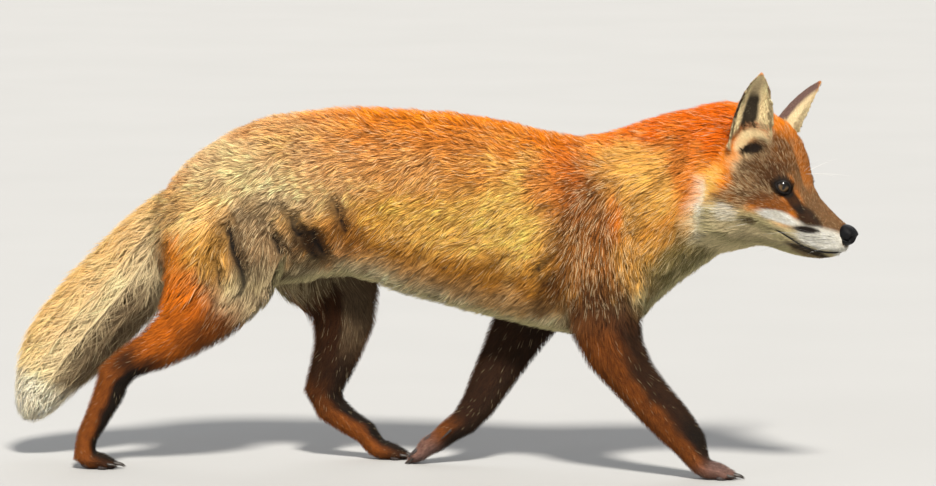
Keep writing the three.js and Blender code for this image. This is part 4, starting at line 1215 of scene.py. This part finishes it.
lipForm = {"points": 22, "front": -6.0, "height": -23.5, "thick": 0.0013,
           "radii": ([0, 0.08, 0.5, 0.92, 1], [0.5, 1.0, 0.9, 1.0, 0.5])}
ways = np.array(mouth["line"])
arc = np.r_[0, np.cumsum(np.linalg.norm(np.diff(ways, axis=0), axis=1))]
route = []
for s in sideWords:
    spots = [[np.interp(t * arc[-1], arc, ways[:, k]) for k in (0, 1)] for t in np.linspace(0, 1, lipForm["points"])]
    hits = [onFace(min(b, lipForm["front"]), s, u) for b, u in spots]
    route.append([hit for hit in hits if hit is not None])
front = tree.ray_cast(Vector(fromHead([(40, 0, lipForm["height"])])[0]), Vector(headTurn @ np.array([-1.0, 0, 0])))
path = route[0][::-1] + ([np.array(front[0])] if front[0] is not None else []) + route[1]
radii = np.interp(np.linspace(0, 1, len(path)), *lipForm["radii"])
mesh = swept("lips", [tuple(q) for q in path], radii, lipForm["thick"])
finished("lips", joinedMesh("lips", [mesh]), "lips")
print("face finished")

# claws and pads
pawForm = {
    "foreRight": {"ball": (257, -41, 10), "dip": 8, "reach": 1, "half": 18, "claws": 5},
    "foreLeft": {"ball": (-44, 30, 21.5), "dip": 135, "reach": 1, "half": 14.5, "claws": 5},
    "hindRight": {"ball": (-397, -54, 9.3), "dip": 5, "reach": 0.95, "half": 16.5, "claws": 4},
    "hindLeft": {"ball": (-102, 60, 9.5), "dip": 6, "reach": 0.95, "half": 16.5, "claws": 4},
}
toeForm = {"lengths": (25, 33, 33, 25), "radius": 8, "pad": (5.2, 3.8, 2.6), "ballPad": (8.5, 0.5, 3.6),
           "padLow": -5.6}
clawForm = {"bow": 0.0012, "thick": 0.0017, "dewThick": 0.0011, "above": 0.0002,
            "along": (-0.35, 0, 0.3, 0.6, 0.85, 1.0), "slim": [1.0, 1.0, 0.86, 0.6, 0.3, 0.04]}
for name, paw in pawForm.items():
    title = name[0].upper() + name[1:]
    spin = turned(paw["dip"], "Y")
    claws = []
    nodes = [f"claw_{name[:4]}_{name[4:].lower()}_{k}" for k in range(1, paw["claws"] + 1)]
    for k, node in enumerate(nodes):
        shape = pointsOf(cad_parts[node].data)
        if k < 4:
            way, down, thick = spin @ np.array([1, 0, -0.12]), spin @ np.array([0, 0, -1]), clawForm["thick"]
        else:  # the dewclaw, along its own length
            way = np.linalg.svd(shape - shape.mean(0), full_matrices=False)[2][0]
            way = way if way @ (legPaths[name][-2] - legPaths[name][-4]) > 0 else -way
            down, thick = np.array([0, -1.0 if "Right" in name else 1.0, 0]), clawForm["dewThick"]
        along = shape @ way
        tip, root = shape[np.argmax(along)], shape[along < np.quantile(along, 0.35)].mean(0)
        line = [blend(root, tip, t) - unit(down) * clawForm["bow"] * math.sin(math.pi * min(max(t, 0), 1))
                for t in clawForm["along"]]
        line = [(q[0], q[1], max(q[2], thick * r + clawForm["above"])) for q, r in zip(line, clawForm["slim"])]
        claws.append(swept("claw", line, clawForm["slim"], thick, sides=2))
    finished("claws" + title, joinedMesh("claws" + title, claws), "claw", nodes)
    long, wide, high = toeForm["ballPad"]
    lumps = [(0, 0, long, paw["half"] * wide, high)]
    for k, length in enumerate(toeForm["lengths"]):
        sideways = (k - 1.5) / 1.5 * (paw["half"] - toeForm["radius"] + 0.5) * 1.05
        lumps.append((length * paw["reach"] * 0.7, sideways, *toeForm["pad"]))
    pads = bmesh.new()
    for forward, across, a, b, c in lumps:
        for v in bmesh.ops.create_icosphere(pads, subdivisions=3, radius=1)["verts"]:
            q = np.array([forward + v.co.x * a, across + v.co.y * b, toeForm["padLow"] + v.co.z * c])
            v.co = Vector(metres(spin @ q + paw["ball"]))
            v.co.z = max(v.co.z, 0.0)
    finished("pads" + title, meshFrom(pads, "pads" + title), "pads")
print("claws and pads set")

# whiskers
whiskerForm = {"rows": 4, "perRow": 6, "long": (24, 58), "thick": 0.17, "sides": 5, "steps": 8, "taper": 0.93,
               "from": (-20, -12), "perStep": (-5.0, -0.9), "perLine": -4.0, "jitter": (0.8, 0.5, 0.06),
               "droop": 0.22, "paleShare": 0.12}
# each: behind the nose's tip and up, way with its middle number outwards, length; over the eyes and on the cheeks
browWhiskers = [(-76, 34, (0.72, 0.25, 0.68), 46), (-78, 33, (0.86, 0.3, 0.42), 44), (-80, 35, (0.5, 0.5, 0.74), 36),
                (-100, -28, (-0.7, 0.7, -0.2), 34), (-98, -31, (-0.6, 0.75, -0.3), 30)]
chinWhiskers = [(b, u, (-0.55, 0.35, -0.75), 30) for b, u in ((-44, -47), (-52, -48), (-38, -45), (-60, -50))]


def whisker(root, way, droop, long):
    sides, steps, thick = whiskerForm["sides"], whiskerForm["steps"], whiskerForm["thick"] / 1000
    sideways = unit(np.cross(way, (0.1, 0.2, 1)))
    upways = np.cross(way, sideways)
    verts, faces = [], []
    for k in range(steps):
        t = k / (steps - 1)
        middle = root + way * long * t + np.array([0, 0, -1]) * droop * t * t
        for j in range(sides):
            turn = 2 * math.pi * j / sides
            out = math.cos(turn) * sideways + math.sin(turn) * upways
            verts.append(middle + thick * (1 - whiskerForm["taper"] * t) * out)
    verts += [root - way * thick, root + way * (long + thick) - np.array([0, 0, 1]) * droop]
    last = (steps - 1) * sides
    pairs = [(j, (j + 1) % sides) for j in range(sides)]
    for k in range(0, last, sides):
        for j, after in pairs:
            faces += [(k + j, k + after, k + sides + after), (k + j, k + sides + after, k + sides + j)]
    for j, after in pairs:
        faces += [(steps * sides, after, j), (steps * sides + 1, last + j, last + after)]
    return np.array(verts), np.array(faces)


made = {"whiskersDark": [], "whiskersPale": []}
for s in sideWords:
    for row in range(whiskerForm["rows"]):
        for k in range(whiskerForm["perRow"]):
            b, u = (start + step * k for start, step in zip(whiskerForm["from"], whiskerForm["perStep"]))
            b += chance.normal(0, whiskerForm["jitter"][0])
            u += whiskerForm["perLine"] * row + chance.normal(0, whiskerForm["jitter"][1])
            root = onFace(b, s, u)
            if root is None:
                continue
            drop = -0.1 - 0.1 * row + chance.normal(0, whiskerForm["jitter"][2])
            way = unit(np.array([-0.75 - 0.07 * k, s * (0.62 - 0.03 * k), drop])) @ headTurn.T
            long = np.interp(k, [0, 5], whiskerForm["long"]) * (0.8 + 0.3 * chance.random()) / 1000
            kind = "whiskersPale" if chance.random() < whiskerForm["paleShare"] else "whiskersDark"
            made[kind].append(whisker(root, way, long * whiskerForm["droop"], long))
    for kind, rows, droop in (("whiskersPale", browWhiskers, 0.004), ("whiskersDark", chinWhiskers, 0.002)):
        for b, u, way, long in rows:
            root = onFace(b, s, u)
            if root is not None:
                made[kind].append(whisker(root, unit(np.array(way) * (1, s, 1)) @ headTurn.T, droop, long / 1000))
for name, each in made.items():
    starts = np.cumsum([0] + [len(verts) for verts, _ in each])
    faces = np.concatenate([faces + start for (_, faces), start in zip(each, starts)])
    mesh = meshOf(name, np.concatenate([verts for verts, _ in each]), faces)
    finished(name, joinedMesh(name, [mesh]), name)
print("whiskers set")

# the stage
stageForm = {"aim": (0.0379, -0.0002, 0.2395), "azimuth": 8, "elevation": 6, "distance": 6.5, "lens": 237.5,
             "film": 36, "floorHalf": 40, "sky": (0.34, (0.93, 0.96, 1.0)),
             "fill": {"from": (-3.2, -3.4, 1.4), "size": 2.5, "power": 30, "colour": (0.92, 0.96, 1)}}
suns = {  # the far side's is soft and even, so that it isn't black
    "farSide": {"from": (-0.25, 0.8, 0.55), "power": 1.3, "width": 70, "colour": (1, 1, 1)},
    "sun": {"from": (0.22, -0.74, 0.8), "power": 5.6, "width": 9, "colour": (1, 0.95, 0.87)},
}
floorShape = bmesh.new()
bmesh.ops.create_grid(floorShape, x_segments=8, y_segments=8, size=stageForm["floorHalf"])
floor = placed("floor", meshFrom(floorShape, "floor"))
paint = Paint("paleFloor", 0.9, 0.2)
paint.feed("Base Color", paint.mix(paint.noise(paint.objectPlace(), 3.0), (0.42, 0.42, 0.415), (0.45, 0.45, 0.445)))
floor.data.materials.append(paint.material)

world = bpy.data.worlds.new("studio")
world.use_nodes = True
sky = world.node_tree.nodes["Background"].inputs
sky["Strength"].default_value, sky["Color"].default_value = stageForm["sky"][0], (*stageForm["sky"][1], 1)
scene.world = world

aim = Vector(stageForm["aim"])
form = stageForm["fill"]
fill = bpy.data.lights.new("fill", "AREA")
fill.shape = "DISK"
fill.size, fill.energy, fill.color = form["size"], form["power"], form["colour"]
holder = placed("fill", fill)
holder.location = form["from"]
holder.rotation_euler = (aim - Vector(form["from"])).to_track_quat("-Z", "Y").to_euler()
for name, form in suns.items():
    sun = bpy.data.lights.new(name, "SUN")
    sun.energy, sun.angle, sun.color = form["power"], math.radians(form["width"]), form["colour"]
    placed(name, sun).rotation_euler = Vector(form["from"]).to_track_quat("Z", "Y").to_euler()

a, e = math.radians(stageForm["azimuth"]), math.radians(stageForm["elevation"])
away = Vector((math.sin(a) * math.cos(e), -math.cos(a) * math.cos(e), math.sin(e)))
lens = bpy.data.cameras.new("camera")
lens.lens, lens.sensor_width, lens.clip_end = stageForm["lens"], stageForm["film"], 200
camera = placed("camera", lens)
camera.location = aim + away * stageForm["distance"]
camera.rotation_euler = (-away).to_track_quat("-Z", "Y").to_euler()
scene.camera = camera
scene.view_settings.view_transform = "Standard"

print("scene made")
